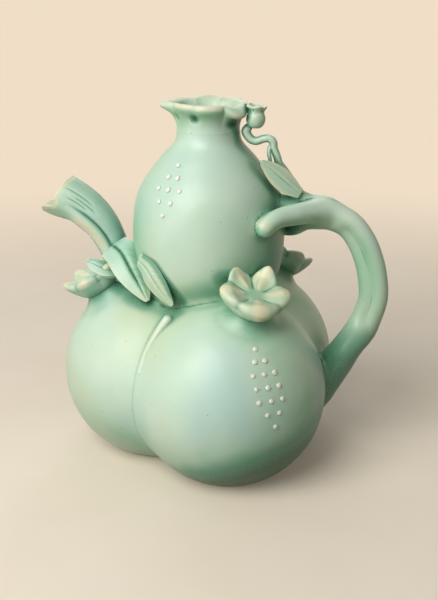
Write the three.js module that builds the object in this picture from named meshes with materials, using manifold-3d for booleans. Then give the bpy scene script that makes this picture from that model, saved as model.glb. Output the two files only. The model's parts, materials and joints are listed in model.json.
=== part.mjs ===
// A celadon pitcher in the form of four pomegranates: three stand side by side and carry the
// fourth, which is filled through the crown at its top. The handle is a pair of twining branches,
// the spout a rolled leaf, and every applied leaf, crown, bud and seed is a piece of clay luted on.
// Millimetres, +Z up, the handle towards +X, the spout towards -X, the foot on z = 0.

import * as THREE from 'three';
import { mergeVertices } from 'three/addons/utils/BufferGeometryUtils.js';
import Module from 'manifold-3d';

const wasm = await Module();
wasm.setup();

// Driving sizes of the three lower fruits
const fruitRadius = 48.2;
const fruitFootCut = 6.3; // how deep the flat that each stands on cuts into its ball
const fruitOffset = 28; // from the pitcher's axis to each centre
const fruitWall = 4.5;
const fruitNeckRadius = 9.5;
const fruitNeckRise = 3.3; // how far the neck stands out of the ball

// Driving sizes of the upper fruit
const upperRadius = 37.9;
const upperHeight = 94.5;
const upperWidestRise = 40; // from its foot to where it is widest
const upperSink = 7.2; // how far its foot sinks between the lower fruits
const upperFootRadius = 13;
const upperNeckRadius = 15.2;
const upperWall = 4;
const throatRadius = 8; // the passage down to the lower fruits
const luteGap = 0.3; // what is left between two pieces that are luted together

// Driving sizes of the crowns
const mouthHeight = 12;
const mouthFlare = 4.8; // how far its rim stands out from the neck
const mouthPetals = 8;
const mouthPetalWave = 2.3;
const crownHeight = 11.5;
const crownFlare = 13;
const crownPetals = 6;
const crownPetalWave = 3;

// Driving sizes of the spout
const spoutRootRadius = 7.4;
const spoutMouthRadius = 10;
const spoutWall = 2.4;
const spoutOverhang = 1.8; // how far the middle of its mouth stands out past the left fruit
const spoutRise = 43.9; // from the top of the lower fruits to the middle of its mouth
const spoutMouthSlant = 39.5; // degrees that the mouth faces up
const spoutLip = 0.55; // how far the mouth's cut lies past its middle

// Driving sizes of the handle, from the groove between two fruits and from the upper fruit's foot
const handleStandOff = 27.6;
const handleTopRise = 52.4;
const handleWidestRise = 14;
const handleKneeDrop = 7;
const frontBranchRadius = 4.7;
const backBranchRadius = 4.3;
const branchSpread = 2.9; // from the handle's middle line to each branch's
const tangRadius = 8.2;

// Driving sizes of the small applied pieces
const twigRadius = 1.9;
const twigRootRadius = 3.3;
const budRadius = 4.6;
const budHeight = 11;
const leafThickness = 2;
const seedRadius = 1.35;
const seedHeight = 0.55;

// Where the two lozenges of seeds lie: degrees round and up from their fruits, shares of a height
const frontSeedBearing = -57.5;
const frontSeedHeight = 23;
const frontSeedStep = 7.4;
const upperSeedBearing = -116.5;
const upperSeedShare = 0.61;
const upperSeedDrop = 0.07;
const upperSeedStep = 11;
const upperSeedClimb = 20;

// Glazes and slip
const celadon = new THREE.MeshStandardMaterial({ color: 0x93c4ad, roughness: 0.22, metalness: 0 });
const paleCeladon = new THREE.MeshStandardMaterial({ color: 0xb9d6b4, roughness: 0.25, metalness: 0 });
const whiteSlip = new THREE.MeshStandardMaterial({ color: 0xefeedd, roughness: 0.3, metalness: 0 });

const up = new THREE.Vector3(0, 0, 1);
const turn = THREE.MathUtils.degToRad;
const mix = THREE.MathUtils.lerp;
const smooth = THREE.MathUtils.smoothstep;
const point = (x, y, z) => new THREE.Vector3(x, y, z);
const path = (...points) => new THREE.CatmullRomCurve3(points, false, 'centripetal');

// The way out at a bearing and a height in degrees
function wayOut(bearing, height) {
  const [round, climb] = [turn(bearing), turn(height)];
  const level = Math.cos(climb);
  return point(level * Math.cos(round), level * Math.sin(round), Math.sin(climb));
}

// Each lower fruit stands at its bearing round the axis. Its crown points its own way, leaning out.
const fruitCentreHeight = fruitRadius - fruitFootCut;
const lowerFruits = {
  front: { bearing: -60, stalkWay: wayOut(-45, 69.5) },
  back: { bearing: 60, stalkWay: wayOut(56, 56) },
  left: { bearing: 180, stalkWay: wayOut(186, 58) },
};
for (const fruit of Object.values(lowerFruits)) {
  fruit.centre = wayOut(fruit.bearing, 0).multiplyScalar(fruitOffset).setZ(fruitCentreHeight);
}
const lowerTop = fruitCentreHeight + fruitRadius;
const creaseHeight = fruitCentreHeight + Math.sqrt(fruitRadius ** 2 - fruitOffset ** 2);
const upperFoot = creaseHeight - upperSink;
const upperWidest = upperFoot + upperWidestRise;
const upperNeck = upperFoot + upperHeight;

// A closed geometry as a solid, with its faces pointing out
function solidOf(geometry) {
  const plain = geometry.index ? geometry.toNonIndexed() : geometry.clone();
  plain.deleteAttribute('normal');
  plain.deleteAttribute('uv');
  const merged = mergeVertices(plain, 1e-3);
  const triVerts = new Uint32Array(merged.index.array);
  const vertProperties = merged.attributes.position.array;
  const made = new wasm.Manifold(new wasm.Mesh({ numProp: 3, vertProperties, triVerts }));
  if (made.volume() > 0) return made;
  return new wasm.Manifold(new wasm.Mesh({ numProp: 3, vertProperties, triVerts: triVerts.reverse() }));
}

function geometryOf(solid) {
  const { numProp, numVert, vertProperties, triVerts } = solid.getMesh();
  const positions = new Float32Array(numVert * 3);
  for (let i = 0; i < numVert; i += 1) {
    positions.set(vertProperties.subarray(i * numProp, i * numProp + 3), i * 3);
  }
  const geometry = new THREE.BufferGeometry();
  geometry.setAttribute('position', new THREE.BufferAttribute(positions, 3));
  geometry.setIndex(new THREE.BufferAttribute(new Uint32Array(triVerts), 1));
  geometry.computeVertexNormals();
  return geometry;
}

// A solid with its surface moved out, which cuts the luting gap into its neighbours
function grown(solid, by) {
  const geometry = geometryOf(solid);
  const { position, normal } = geometry.attributes;
  for (let i = 0; i < position.count; i += 1) {
    position.setXYZ(
      i,
      position.getX(i) + by * normal.getX(i),
      position.getY(i) + by * normal.getY(i),
      position.getZ(i) + by * normal.getZ(i),
    );
  }
  return solidOf(geometry).add(solid);
}

// The largest piece of a solid, for what is left when a neighbour cuts through
function largest(solid) {
  return solid.decompose().reduce((a, b) => (a.volume() > b.volume() ? a : b));
}

// A turned solid about +Z from a closed outline of [radius, height] points
function turned(outline, segments) {
  const points = outline.map(([radius, height]) => new THREE.Vector2(radius, height));
  return new THREE.LatheGeometry(points, segments).rotateX(Math.PI / 2);
}

// A solid drawn along a curve. section(t) gives its half width, half thickness and camber, and
// facing(t, place) the way that its thickness points.
function drawn(curve, steps, sides, section, facing) {
  const corners = [];
  const faces = [];
  for (let i = 0; i <= steps; i += 1) {
    const t = i / steps;
    const place = curve.getPointAt(t);
    const along = curve.getTangentAt(t);
    const across = new THREE.Vector3().crossVectors(along, facing(t, place)).normalize();
    const out = new THREE.Vector3().crossVectors(across, along);
    const { width, thick = width, camber = 0 } = section(t);
    for (let j = 0; j < sides; j += 1) {
      const angle = (2 * Math.PI * j) / sides;
      const aside = width * Math.cos(angle);
      const lift = thick * Math.sin(angle) - camber * Math.cos(angle) ** 2;
      corners.push(place.clone().addScaledVector(across, aside).addScaledVector(out, lift));
    }
  }
  for (let i = 0; i < steps; i += 1) {
    for (let j = 0; j < sides; j += 1) {
      const next = (j + 1) % sides;
      const [a, b] = [i * sides + j, i * sides + next];
      faces.push(a, b, a + sides, b, b + sides, a + sides);
    }
  }
  for (const [ring, place] of [[0, curve.getPointAt(0)], [steps, curve.getPointAt(1)]]) {
    const middle = corners.push(place) - 1;
    for (let j = 0; j < sides; j += 1) {
      const [a, b] = [ring * sides + j, ring * sides + ((j + 1) % sides)];
      faces.push(...(ring ? [a, b, middle] : [b, a, middle]));
    }
  }
  const geometry = new THREE.BufferGeometry().setFromPoints(corners);
  geometry.setIndex(faces);
  return solidOf(geometry);
}

// The upper fruit's outside, from its foot to its neck, as radius and height
function upperShape(inset = 0) {
  return new THREE.SplineCurve([
    new THREE.Vector2(upperFootRadius - inset, upperFoot + inset),
    new THREE.Vector2(0.69 * upperRadius, mix(upperFoot, upperWidest, 0.18) + inset),
    new THREE.Vector2(0.93 * upperRadius - inset, mix(upperFoot, upperWidest, 0.56)),
    new THREE.Vector2(upperRadius - inset, upperWidest),
    new THREE.Vector2(0.92 * upperRadius - inset, mix(upperWidest, upperNeck, 0.43)),
    new THREE.Vector2(0.63 * upperRadius - inset, mix(upperWidest, upperNeck, 0.73)),
    new THREE.Vector2(1.08 * upperNeckRadius - inset, mix(upperWidest, upperNeck, 0.89)),
    new THREE.Vector2(upperNeckRadius - inset, upperNeck),
  ]);
}
const upperSide = upperShape().getSpacedPoints(200);

// A point off the upper fruit: a bearing in degrees, a share of its height and a lift
function offUpper([bearing, share, lift]) {
  const height = upperFoot + share * upperHeight;
  const nearest = (a, b) => (Math.abs(b.y - height) < Math.abs(a.y - height) ? b : a);
  return wayOut(bearing, 0).multiplyScalar(upperSide.reduce(nearest).x + lift).setZ(height);
}

// A point off a lower fruit: a bearing and a height in degrees from its centre, and a lift
const offLower = (fruit) => ([bearing, height, lift]) => (
  wayOut(bearing, height).multiplyScalar(fruitRadius + lift).add(fruit.centre)
);

function upperBody() {
  const side = upperShape().getSpacedPoints(20).map((p) => [p.x, p.y]);
  return solidOf(turned([[0, upperFoot], ...side, [0, upperNeck]], 36));
}

function upperCavity() {
  const side = upperShape(upperWall).getSpacedPoints(20).map((p) => [p.x, p.y]);
  const floor = upperFoot + upperWall;
  const mouth = [[side.at(-1)[0], upperNeck + 10], [0, upperNeck + 10]];
  const room = turned([[0, floor], [throatRadius, floor], ...side.slice(1), ...mouth], 28);
  const low = upperFoot - 14;
  const throat = turned([[0, low], [throatRadius, low], [throatRadius, floor + 1], [0, floor + 1]], 20);
  return solidOf(room).add(solidOf(throat));
}

// A lower fruit's outside: a ball that draws up into a short neck, turned about its stalk's way
function lowerBody(fruit) {
  const top = fruitRadius + fruitNeckRise;
  const shoulder = Math.acos((fruitNeckRadius + 6.2) / fruitRadius);
  const shape = new THREE.Path();
  shape.absarc(0, 0, fruitRadius, -Math.PI / 2, shoulder, false);
  shape.quadraticCurveTo(fruitNeckRadius + 2, fruitRadius * 0.99, fruitNeckRadius, top);
  const side = shape.getSpacedPoints(20).map((p) => [Math.max(p.x, 0), p.y]);
  side[0][0] = 0;
  const ball = turned([...side, [0, top]], 36);
  ball.applyQuaternion(new THREE.Quaternion().setFromUnitVectors(up, fruit.stalkWay));
  ball.translate(...fruit.centre.toArray());
  const above = new THREE.BoxGeometry(400, 400, 200).translate(0, 0, 100);
  return solidOf(ball).intersect(solidOf(above));
}

function lowerCavity(fruit) {
  const room = new THREE.SphereGeometry(fruitRadius - fruitWall, 24, 14).rotateX(Math.PI / 2);
  room.translate(...fruit.centre.toArray());
  const above = new THREE.BoxGeometry(400, 400, 200).translate(0, 0, 100 + fruitWall);
  return solidOf(room).intersect(solidOf(above));
}

// The third of the round that belongs to one lower fruit, drawn back by half the luting gap
function sector(fruit) {
  const reach = 200;
  const start = (luteGap / 2) / Math.sin(turn(60));
  const corner = (angle) => new THREE.Vector2(start + reach * Math.cos(angle), reach * Math.sin(angle));
  const outline = new THREE.Shape([new THREE.Vector2(start, 0), corner(turn(-60)), corner(turn(60))]);
  const wedge = new THREE.ExtrudeGeometry(outline, { depth: 200, bevelEnabled: false });
  return solidOf(wedge.translate(0, 0, -20).rotateZ(turn(fruit.bearing)));
}

// A cup cut into petals: the outline is turned, then its rim is drawn out and up in waves
function petalled(outline, petals, { from, height, flare, lift, phase = 0 }, segments) {
  const geometry = turned(outline, segments);
  const places = geometry.attributes.position;
  const corner = new THREE.Vector3();
  for (let i = 0; i < places.count; i += 1) {
    corner.fromBufferAttribute(places, i);
    const share = THREE.MathUtils.clamp((corner.z - from) / (height - from), 0, 1);
    const radius = Math.hypot(corner.x, corner.y);
    if (share > 0 && radius > 1e-6) {
      const round = Math.atan2(corner.y, corner.x) - phase;
      const wave = 2 * Math.abs(Math.cos((petals / 2) * round)) - 1;
      const wider = 1 + (flare * share * share * wave) / radius;
      places.setXYZ(i, corner.x * wider, corner.y * wider, corner.z + lift * share * share * wave);
    }
  }
  return geometry;
}

function mouthCrown() {
  const seat = upperNeck + luteGap;
  const top = upperNeck + mouthHeight;
  const outer = upperNeckRadius + 0.3;
  const inner = upperNeckRadius - upperWall;
  const rim = upperNeckRadius + mouthFlare;
  const outline = [
    [inner, seat], [outer, seat], [outer, seat + 4], [outer + 1.4, seat + 6.5], [rim - 1.5, top - 4.5],
    [rim, top - 4], [rim - 0.3, top - 1.5], [rim - 2.2, top], [outer, top - 1.5], [inner + 1, seat + 6],
    [inner, seat],
  ];
  const lobes = { from: seat + 3, height: top, flare: mouthPetalWave, lift: -1.2, phase: turn(-169) };
  return solidOf(petalled(outline, mouthPetals, lobes, 64));
}

function fruitCrown(fruit) {
  const neck = fruitRadius + fruitNeckRise;
  const seat = neck + luteGap;
  const top = neck + crownHeight;
  const outline = [
    [0, seat], [fruitNeckRadius - 1, seat], [fruitNeckRadius - 1.2, seat + 4],
    [crownFlare, top - 1.5], [crownFlare, top], [crownFlare - 3, top],
    [fruitNeckRadius - 4, seat + 6.5], [0, seat + 6],
  ];
  const lobes = { from: seat + 3, height: top, flare: crownPetalWave, lift: 1.2 };
  const crown = petalled(outline, crownPetals, lobes, 48);
  crown.applyQuaternion(new THREE.Quaternion().setFromUnitVectors(up, fruit.stalkWay));
  crown.translate(...fruit.centre.toArray());
  return solidOf(crown);
}

// The spout: a leaf rolled into a tube, rising from the left fruit and opening up and out. Its
// line's points are shares of the way from its root on the fruit to the middle of its mouth.
const spoutRoot = offLower(lowerFruits.left)([180, 70.6, 0]);
const spoutMouth = point(-fruitOffset - fruitRadius - spoutOverhang, 0, lowerTop + spoutRise);
const onSpout = ([out, rise]) => point(
  mix(spoutRoot.x, spoutMouth.x, out),
  0,
  mix(spoutRoot.z, spoutMouth.z, rise),
);
const spoutShares = [
  [-0.09, -0.245], [0.06, 0.1], [0.15, 0.38], [0.34, 0.66], [0.62, 0.86], [1, 1], [1.35, 1.12],
];
const spoutLine = path(...spoutShares.map(onSpout));
const spoutRadius = (t) => mix(spoutRootRadius, spoutMouthRadius, smooth(t, 0.25, 0.75));
const sideways = () => point(0, 1, 0);

function spoutBody() {
  const tube = drawn(spoutLine, 18, 18, (t) => ({ width: spoutRadius(t) }), sideways);
  const [cos, sin] = [Math.cos(turn(spoutMouthSlant)), Math.sin(turn(spoutMouthSlant))];
  return tube.trimByPlane([cos, 0, -sin], cos * spoutMouth.x - sin * spoutMouth.z - spoutLip);
}

function spoutBore() {
  const inside = onSpout([-0.3, -0.55]);
  const beyond = spoutLine.getPointAt(1).addScaledVector(spoutLine.getTangentAt(1), 4);
  const line = path(inside, ...spoutLine.points, beyond);
  return drawn(line, 18, 14, (t) => ({ width: spoutRadius(t) - spoutWall }), sideways);
}

// The groove between the front and the back fruit, at a height
function grooveReach(height) {
  const { x, y } = lowerFruits.front.centre;
  return x + Math.sqrt(Math.max(0, fruitRadius ** 2 - y ** 2 - (height - fruitCentreHeight) ** 2));
}

// The handle's middle line, and the two branches that twine about it
const handleReach = grooveReach(fruitCentreHeight) + handleStandOff;
const handleTop = upperFoot + handleTopRise;
const handleWidest = upperFoot + handleWidestRise;
const handleKnee = upperFoot - handleKneeDrop;
const handleLine = path(
  point(mix(upperRadius, handleReach, 0.27), 0, handleTop),
  point(mix(upperRadius, handleReach, 0.49), 0, handleTop + 0.3),
  point(mix(upperRadius, handleReach, 0.71), 0, handleTop - 4),
  point(mix(upperRadius, handleReach, 0.9), 0, mix(handleWidest, handleTop, 0.55)),
  point(handleReach, 0, handleWidest),
  point(handleReach - 2, 0, mix(handleKnee, handleWidest, 0.5)),
  point(handleReach - 6, 0, handleKnee),
);

// Points on a branch that starts at an angle and winds round the middle line
function branchPoints(angle, twist, count) {
  return Array.from({ length: count }, (_, i) => {
    const t = i / (count - 1);
    const along = handleLine.getTangentAt(t);
    const front = point(0, -1, 0);
    const out = new THREE.Vector3().crossVectors(along, front).normalize();
    const around = turn(angle + twist * t);
    return handleLine.getPointAt(t)
      .addScaledVector(out, branchSpread * Math.cos(around))
      .addScaledVector(front, branchSpread * Math.sin(around));
  });
}

// The tang's line, from the knee down the groove: shares of the knee's height, and lifts off it
const tangShares = [[0.85, 17.6], [0.694, 9.1], [0.537, 3.7], [0.403, 2.1], [0.224, 6]];
const tangPoints = tangShares.map(([share, lift]) => {
  const height = handleKnee * share;
  return point(grooveReach(height) + lift, 0, height);
});
const tangLine = path(point(handleReach - 6.5, 0, handleKnee + 1), ...tangPoints);
const intoTang = (share, side) => tangLine.getPointAt(share).setY(side);

const frontBranchLine = path(
  ...[[-42.8, 0.524, 0], [-33.3, 0.577, 3.2], [-18.2, 0.593, 6.5]].map(offUpper),
  ...branchPoints(25, 130, 9),
  intoTang(0.2, -3.4),
  intoTang(0.34, -2.6),
);
const backBranchLine = path(
  ...[[42.3, 0.466, -0.6], [32.7, 0.503, 2.2], [16.3, 0.513, 5.2]].map(offUpper),
  ...branchPoints(205, 130, 9),
  intoTang(0.2, 3.4),
  intoTang(0.34, 2.8),
);

const branch = (line, radius) => drawn(line, 34, 10, (t) => ({
  width: radius * Math.min(1, Math.sqrt(0.2 + 18 * t)),
}), sideways);
const tang = () => drawn(tangLine, 14, 14, (t) => {
  const taper = Math.min(1, Math.sqrt(0.08 + 3 * (1 - t)));
  return {
    width: tangRadius * taper * mix(0.62, 1, smooth(t, 0, 0.4)),
    thick: tangRadius * taper * mix(0.62, 1.1, smooth(t, 0, 0.5)),
  };
}, () => point(1, 0, -1));

// The twig curls beside the mouth, then runs down the shoulder and into the handle's top
const twigCurl = [
  [-13, 1.024, 7], [-14.5, 1.001, 4.8], [-14, 0.972, 5.3], [-12.7, 0.951, 6.8], [-11.5, 0.947, 9.2],
  [-10.4, 0.958, 12.1], [-9.1, 0.96, 14.7], [-8.2, 0.945, 16.4], [-7.5, 0.91, 15], [-6.7, 0.868, 12.1],
  [-5.3, 0.799, 9.3], [-3.7, 0.732, 8.1], [-2.1, 0.677, 9.8],
];
const twigRoot = handleLine.points.slice(0, 2).map((place, i) => (
  place.clone().add(point(0, 0, [7.2, 4.3][i]))
));
const twigLine = path(...twigCurl.map(offUpper), ...twigRoot);
const twig = () => drawn(twigLine, 40, 8, (t) => ({
  width: mix(twigRadius, twigRootRadius, smooth(t, 0.45, 0.95)),
}), () => point(0, -1, 0));

// The bud, a small fruit with its own crown of five points, on the twig's end
function bud() {
  const shape = new THREE.SplineCurve([
    new THREE.Vector2(0, 0),
    new THREE.Vector2(budRadius * 0.75, 1.2),
    new THREE.Vector2(budRadius, budHeight * 0.42),
    new THREE.Vector2(budRadius * 0.72, budHeight * 0.76),
    new THREE.Vector2(budRadius * 0.95, budHeight),
  ]);
  const side = shape.getSpacedPoints(10).map((p) => [p.x, p.y]);
  const outline = [...side, [budRadius * 0.6, budHeight], [0, budHeight - 2]];
  const points = { from: budHeight * 0.76, height: budHeight, flare: 0.8, lift: 0.9 };
  const form = petalled(outline, 5, points, 20);
  const seat = twigLine.getPointAt(0).add(point(1.8, 0, -1.4));
  return solidOf(form.rotateY(turn(4)).translate(...seat.toArray()));
}

// A leaf laid along a line, widest part way along and pointed at its tip
function leaf(line, halfWidth, facing, camber, widest = 0.45) {
  return drawn(line, 12, 10, (t) => {
    const root = Math.sin((Math.PI / 2) * (0.25 + (0.75 * t) / widest));
    const tip = Math.cos((Math.PI / 2) * ((t - widest) / (1.04 - widest)));
    const swell = t < widest ? root : tip;
    const thick = leafThickness * (0.25 + 0.25 * swell);
    return { width: halfWidth * swell, thick, camber: camber * swell };
  }, facing);
}
const outFrom = (centre) => (t, place) => place.clone().sub(centre).normalize();
const fromUpper = outFrom(point(0, 0, upperWidest));
const fromLeft = outFrom(offLower(lowerFruits.left)([150, 70, -30]));
const leaves = {
  shoulder_leaf: leaf(path(...[
    [-6.9, 0.683, 11.3], [-10, 0.724, 9.2], [-13.4, 0.768, 7.9], [-17.2, 0.811, 7], [-22.2, 0.853, 6],
  ].map(offUpper)), 3.9, fromUpper, 0.5),
  shoulder_back_leaf: leaf(path(...[
    [2.2, 0.677, 11.3], [4.3, 0.723, 9.8], [6.8, 0.77, 9.4], [9.4, 0.819, 9.7],
  ].map(offUpper)), 3.4, fromUpper, 0.5),
  spout_front_leaf: leaf(path(...[
    [-162, 71.1, 21.7], [-138.9, 72.2, 19.1], [-116, 69.4, 13.3], [-99.9, 65, 7.1], [-90, 60, 2.7],
  ].map(offLower(lowerFruits.left))), 6.6, fromLeft, 1.4),
  spout_inner_leaf: leaf(path(...[
    [-139.8, 0.354, 1.1], [-130.3, 0.323, 0.7], [-123.3, 0.259, 1.2], [-118.3, 0.19, 2.1], [-115, 0.127, 3.1],
  ].map(offUpper)), 4.4, fromUpper, 0.8, 0.5),
  spout_outer_leaf: leaf(path(...[
    [-144.3, 69.8, 8.9], [-148.8, 65.7, 12.8], [-155.6, 62.3, 16.8], [-162.1, 60, 20.1],
  ].map(offLower(lowerFruits.left))), 3.6, fromLeft, 0.6, 0.4),
};
const grooveTendril = () => drawn(
  path(...[
    [-159.6, 54.8, 2.7], [-156, 44, 0.9], [-151.9, 31.3, 0.9], [-148.5, 17.8, 1.1],
  ].map(offLower(lowerFruits.front))),
  12,
  8,
  (t) => ({ width: mix(1.9, 0.7, t), thick: mix(1.3, 0.6, t) }),
  outFrom(lowerFruits.front.centre),
);

// Lay each piece in turn. A piece is cut back from all that were laid before it.
const ewer = new THREE.Group();
const laid = [];
function lay(name, material, whole, { within, hollows = [] } = {}) {
  let solid = whole;
  let ground = grown(whole, luteGap);
  for (const before of laid) solid = solid.subtract(before);
  for (const hollow of hollows) solid = solid.subtract(hollow);
  if (within) {
    solid = solid.intersect(within);
    ground = ground.intersect(within);
  }
  laid.push(ground);
  const mesh = new THREE.Mesh(geometryOf(largest(solid)), material);
  mesh.name = name;
  ewer.add(mesh);
}

const lowers = Object.entries(lowerFruits);
const chamber = lowers.map(([, fruit]) => lowerCavity(fruit));
const bore = spoutBore();
lay('upper_fruit', celadon, upperBody(), { hollows: [upperCavity()] });
for (const [place, fruit] of lowers) {
  lay(`${place}_fruit`, celadon, lowerBody(fruit), { within: sector(fruit), hollows: [...chamber, bore] });
}
lay('spout', celadon, spoutBody(), { hollows: [bore] });
lay('handle_front_branch', celadon, branch(frontBranchLine, frontBranchRadius));
lay('handle_back_branch', celadon, branch(backBranchLine, backBranchRadius));
lay('handle_tang', celadon, tang());
lay('mouth_crown', paleCeladon, mouthCrown());
for (const [place, fruit] of lowers) lay(`${place}_crown`, paleCeladon, fruitCrown(fruit));
lay('bud', paleCeladon, bud());
lay('bud_twig', paleCeladon, twig());
for (const [name, solid] of Object.entries(leaves)) lay(name, paleCeladon, solid);
lay('groove_tendril', paleCeladon, grooveTendril());

// Seeds of white slip lie in a lozenge of rows on the front and the upper fruit. Each is set down
// where a line from outside meets the fruit, facing the way that the surface faces there.
function seeds(name, fruit, rows, aim) {
  const caster = new THREE.Raycaster();
  const ground = ewer.getObjectByName(fruit);
  let count = 0;
  rows.forEach((number, row) => {
    for (let i = 0; i < number; i += 1) {
      const { centre, out } = aim(i - (number - 1) / 2, row - (rows.length - 1) / 2);
      caster.set(centre.clone().addScaledVector(out, 100), out.clone().negate());
      const [hit] = caster.intersectObject(ground);
      count += 1;
      const seed = new THREE.Mesh(new THREE.SphereGeometry(1, 10, 6), whiteSlip);
      seed.name = `${name}_seed_${String(count).padStart(2, '0')}`;
      seed.scale.set(seedRadius, seedHeight, seedRadius);
      seed.position.copy(hit.point).addScaledVector(hit.face.normal, seedHeight + luteGap);
      seed.quaternion.setFromUnitVectors(point(0, 1, 0), hit.face.normal);
      ewer.add(seed);
    }
  });
}

seeds('front', 'front_fruit', [1, 2, 3, 3, 3, 2, 1], (column, row) => ({
  centre: lowerFruits.front.centre,
  out: wayOut(
    frontSeedBearing + frontSeedStep * (column + 0.12 * row),
    frontSeedHeight - frontSeedStep * row,
  ),
}));
seeds('upper', 'upper_fruit', [1, 2, 3, 2, 1], (column, row) => ({
  centre: point(0, 0, upperFoot + upperHeight * (upperSeedShare - upperSeedDrop * row)),
  out: wayOut(upperSeedBearing + upperSeedStep * column, upperSeedClimb),
}));

// The frame's origin is the middle of the pitcher's box, on the surface it stands on
const box = new THREE.Box3().setFromObject(ewer);
const middle = box.getCenter(new THREE.Vector3());
ewer.position.set(-middle.x, -middle.y, -box.min.z);

export default ewer;
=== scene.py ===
# %% [markdown]
# # A celadon pitcher of four pomegranates
# Three fruits of clay stand side by side and carry a fourth. A potter throws each one, lutes them
# together with wet clay, adds a branch handle, a leaf spout, crowns, leaves, a bud and dots of
# white slip, and glazes the whole in blue-green celadon. This lesson builds the looks around a
# model that is already packed, which gives every size. Each piece here stands for one node of
# that model and takes its place.

import json
import math

import bpy
import numpy as np
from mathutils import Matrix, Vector
from mathutils.bvhtree import BVHTree


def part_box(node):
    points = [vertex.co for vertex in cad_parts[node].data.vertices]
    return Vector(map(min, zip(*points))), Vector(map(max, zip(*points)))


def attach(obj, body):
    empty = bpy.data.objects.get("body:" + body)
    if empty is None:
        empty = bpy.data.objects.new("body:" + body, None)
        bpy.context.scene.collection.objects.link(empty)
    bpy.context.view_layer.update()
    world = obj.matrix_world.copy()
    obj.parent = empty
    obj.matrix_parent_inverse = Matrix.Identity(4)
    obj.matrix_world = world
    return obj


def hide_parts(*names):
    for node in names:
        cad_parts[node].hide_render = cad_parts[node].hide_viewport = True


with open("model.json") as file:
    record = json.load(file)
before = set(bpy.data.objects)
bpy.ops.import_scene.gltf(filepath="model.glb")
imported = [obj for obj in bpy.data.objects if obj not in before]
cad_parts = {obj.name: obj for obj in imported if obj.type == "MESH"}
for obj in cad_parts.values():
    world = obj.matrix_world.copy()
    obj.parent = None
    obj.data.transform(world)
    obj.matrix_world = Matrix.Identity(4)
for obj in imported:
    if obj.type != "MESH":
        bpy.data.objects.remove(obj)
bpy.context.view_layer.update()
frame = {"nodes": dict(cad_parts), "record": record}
MM = 0.001
low, high = (np.array(corner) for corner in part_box("upper_fruit"))
AXIS = (low + high) / 2 * (1, 1, 0)
print("nodes:", len(frame["nodes"]), "axis of the upper fruit:", AXIS.round(5))

# %% [markdown]
# ## The camera
# The pitcher is seen from the front, a little from the right and from above. A camera is worth
# placing first, because every later choice is judged through it. The place was worked out from
# the outlines of the round fruits, whose sizes are known.

# %% Camera
def at(x, y, z):
    """A place in metres from millimetres off the upper fruit's axis."""
    return Vector(AXIS) + Vector((x, y, z)) * MM


def toward(here, there):
    return (there - here).to_track_quat("-Z", "Y")


CAMERA_BEARING = math.radians(9.91)  # how far to the right of the pitcher's front it stands
CAMERA_AWAY, CAMERA_HEIGHT = 448.24, 233.91
AIM_TO_RIGHT, AIM_HEIGHT = 5.17, 79.97
bearing_x, bearing_y = math.sin(CAMERA_BEARING), math.cos(CAMERA_BEARING)
camera_place = at(CAMERA_AWAY * bearing_x, -CAMERA_AWAY * bearing_y, CAMERA_HEIGHT)
camera_aim = at(AIM_TO_RIGHT * bearing_y, AIM_TO_RIGHT * bearing_x, AIM_HEIGHT)
bpy.ops.object.camera_add(location=camera_place)
camera = bpy.context.object
camera.name = "camera"
camera.rotation_euler = toward(camera_place, camera_aim).to_euler()
camera.data.lens = 55.1
camera.data.sensor_width = 36
camera.data.clip_start = 0.01
bpy.context.scene.camera = camera
# The ways to the picture's right and out of it, for pieces that are placed by how they look in it
TO_RIGHT = np.array([0.985, 0.172, 0])
TO_VIEWER = np.array([0.163, -0.931, 0.326])
print("camera", round((camera_place - camera_aim).length, 3), "m from its aim")

# %% [markdown]
# ## Light
# Glaze is a mirror with colour under it, so it wants large soft lights. The key stands at the
# upper left, towards the camera. A broad one low at the front left reaches the undersides, a weak
# one fills the right, and one behind keeps the back from going black. Each one is round and looks
# at the pitcher's middle.

# %% Lights
MIDDLE_HEIGHT = 80


def soft_light(name, place, size, power, colour=(1, 1, 1)):
    """A lamp with its size in metres and its power in watts."""
    bpy.ops.object.light_add(type="AREA", location=place)
    light = bpy.context.object
    light.name = name
    light.rotation_euler = toward(place, at(0, 0, MIDDLE_HEIGHT)).to_euler()
    light.data.shape = "DISK"
    light.data.size = size
    light.data.energy = power
    light.data.color = colour


soft_light("key_light", at(-350, -650, 760), 0.75, 7.4, (1.0, 0.99, 0.97))
soft_light("front_light", at(-640, -700, 80), 1.2, 5.5, (1.0, 1.0, 0.98))
soft_light("fill_light", at(700, -560, 300), 1.0, 0.2, (0.95, 0.98, 1.0))
soft_light("back_light", at(-100, 700, 700), 0.7, 1.6)

# %% [markdown]
# ## Writing materials as sums
# A glaze's colour comes from a few masks that are added and multiplied. Wrapping a socket in a
# small class lets Python's own signs write those sums, and each sign adds its Math node.

# %% Shader maths
class Level:
    """A socket's value. Sums with it add Math nodes."""

    def __init__(self, nodes, socket):
        self.nodes = nodes
        self.socket = socket

    def _sum(self, operation, *values):
        made = self.nodes.node("Math", {"operation": operation}, dict(enumerate(values)))
        return Level(self.nodes, made.outputs[0])

    def __add__(self, other):
        return self._sum("ADD", self, other)

    def __sub__(self, other):
        return self._sum("SUBTRACT", self, other)

    def __mul__(self, other):
        return self._sum("MULTIPLY", self, other)

    def __rsub__(self, other):
        return self._sum("SUBTRACT", other, self)

    __radd__ = __add__
    __rmul__ = __mul__

    def between(self, start, end):
        """0 up to start, 1 from end, and smooth between them."""
        sockets = {"Value": self, "From Min": start, "From Max": end}
        made = self.nodes.node("MapRange", {"interpolation_type": "SMOOTHSTEP"}, sockets)
        return Level(self.nodes, made.outputs[0])

    def largest(self, other):
        return self._sum("MAXIMUM", self, other)


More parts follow.
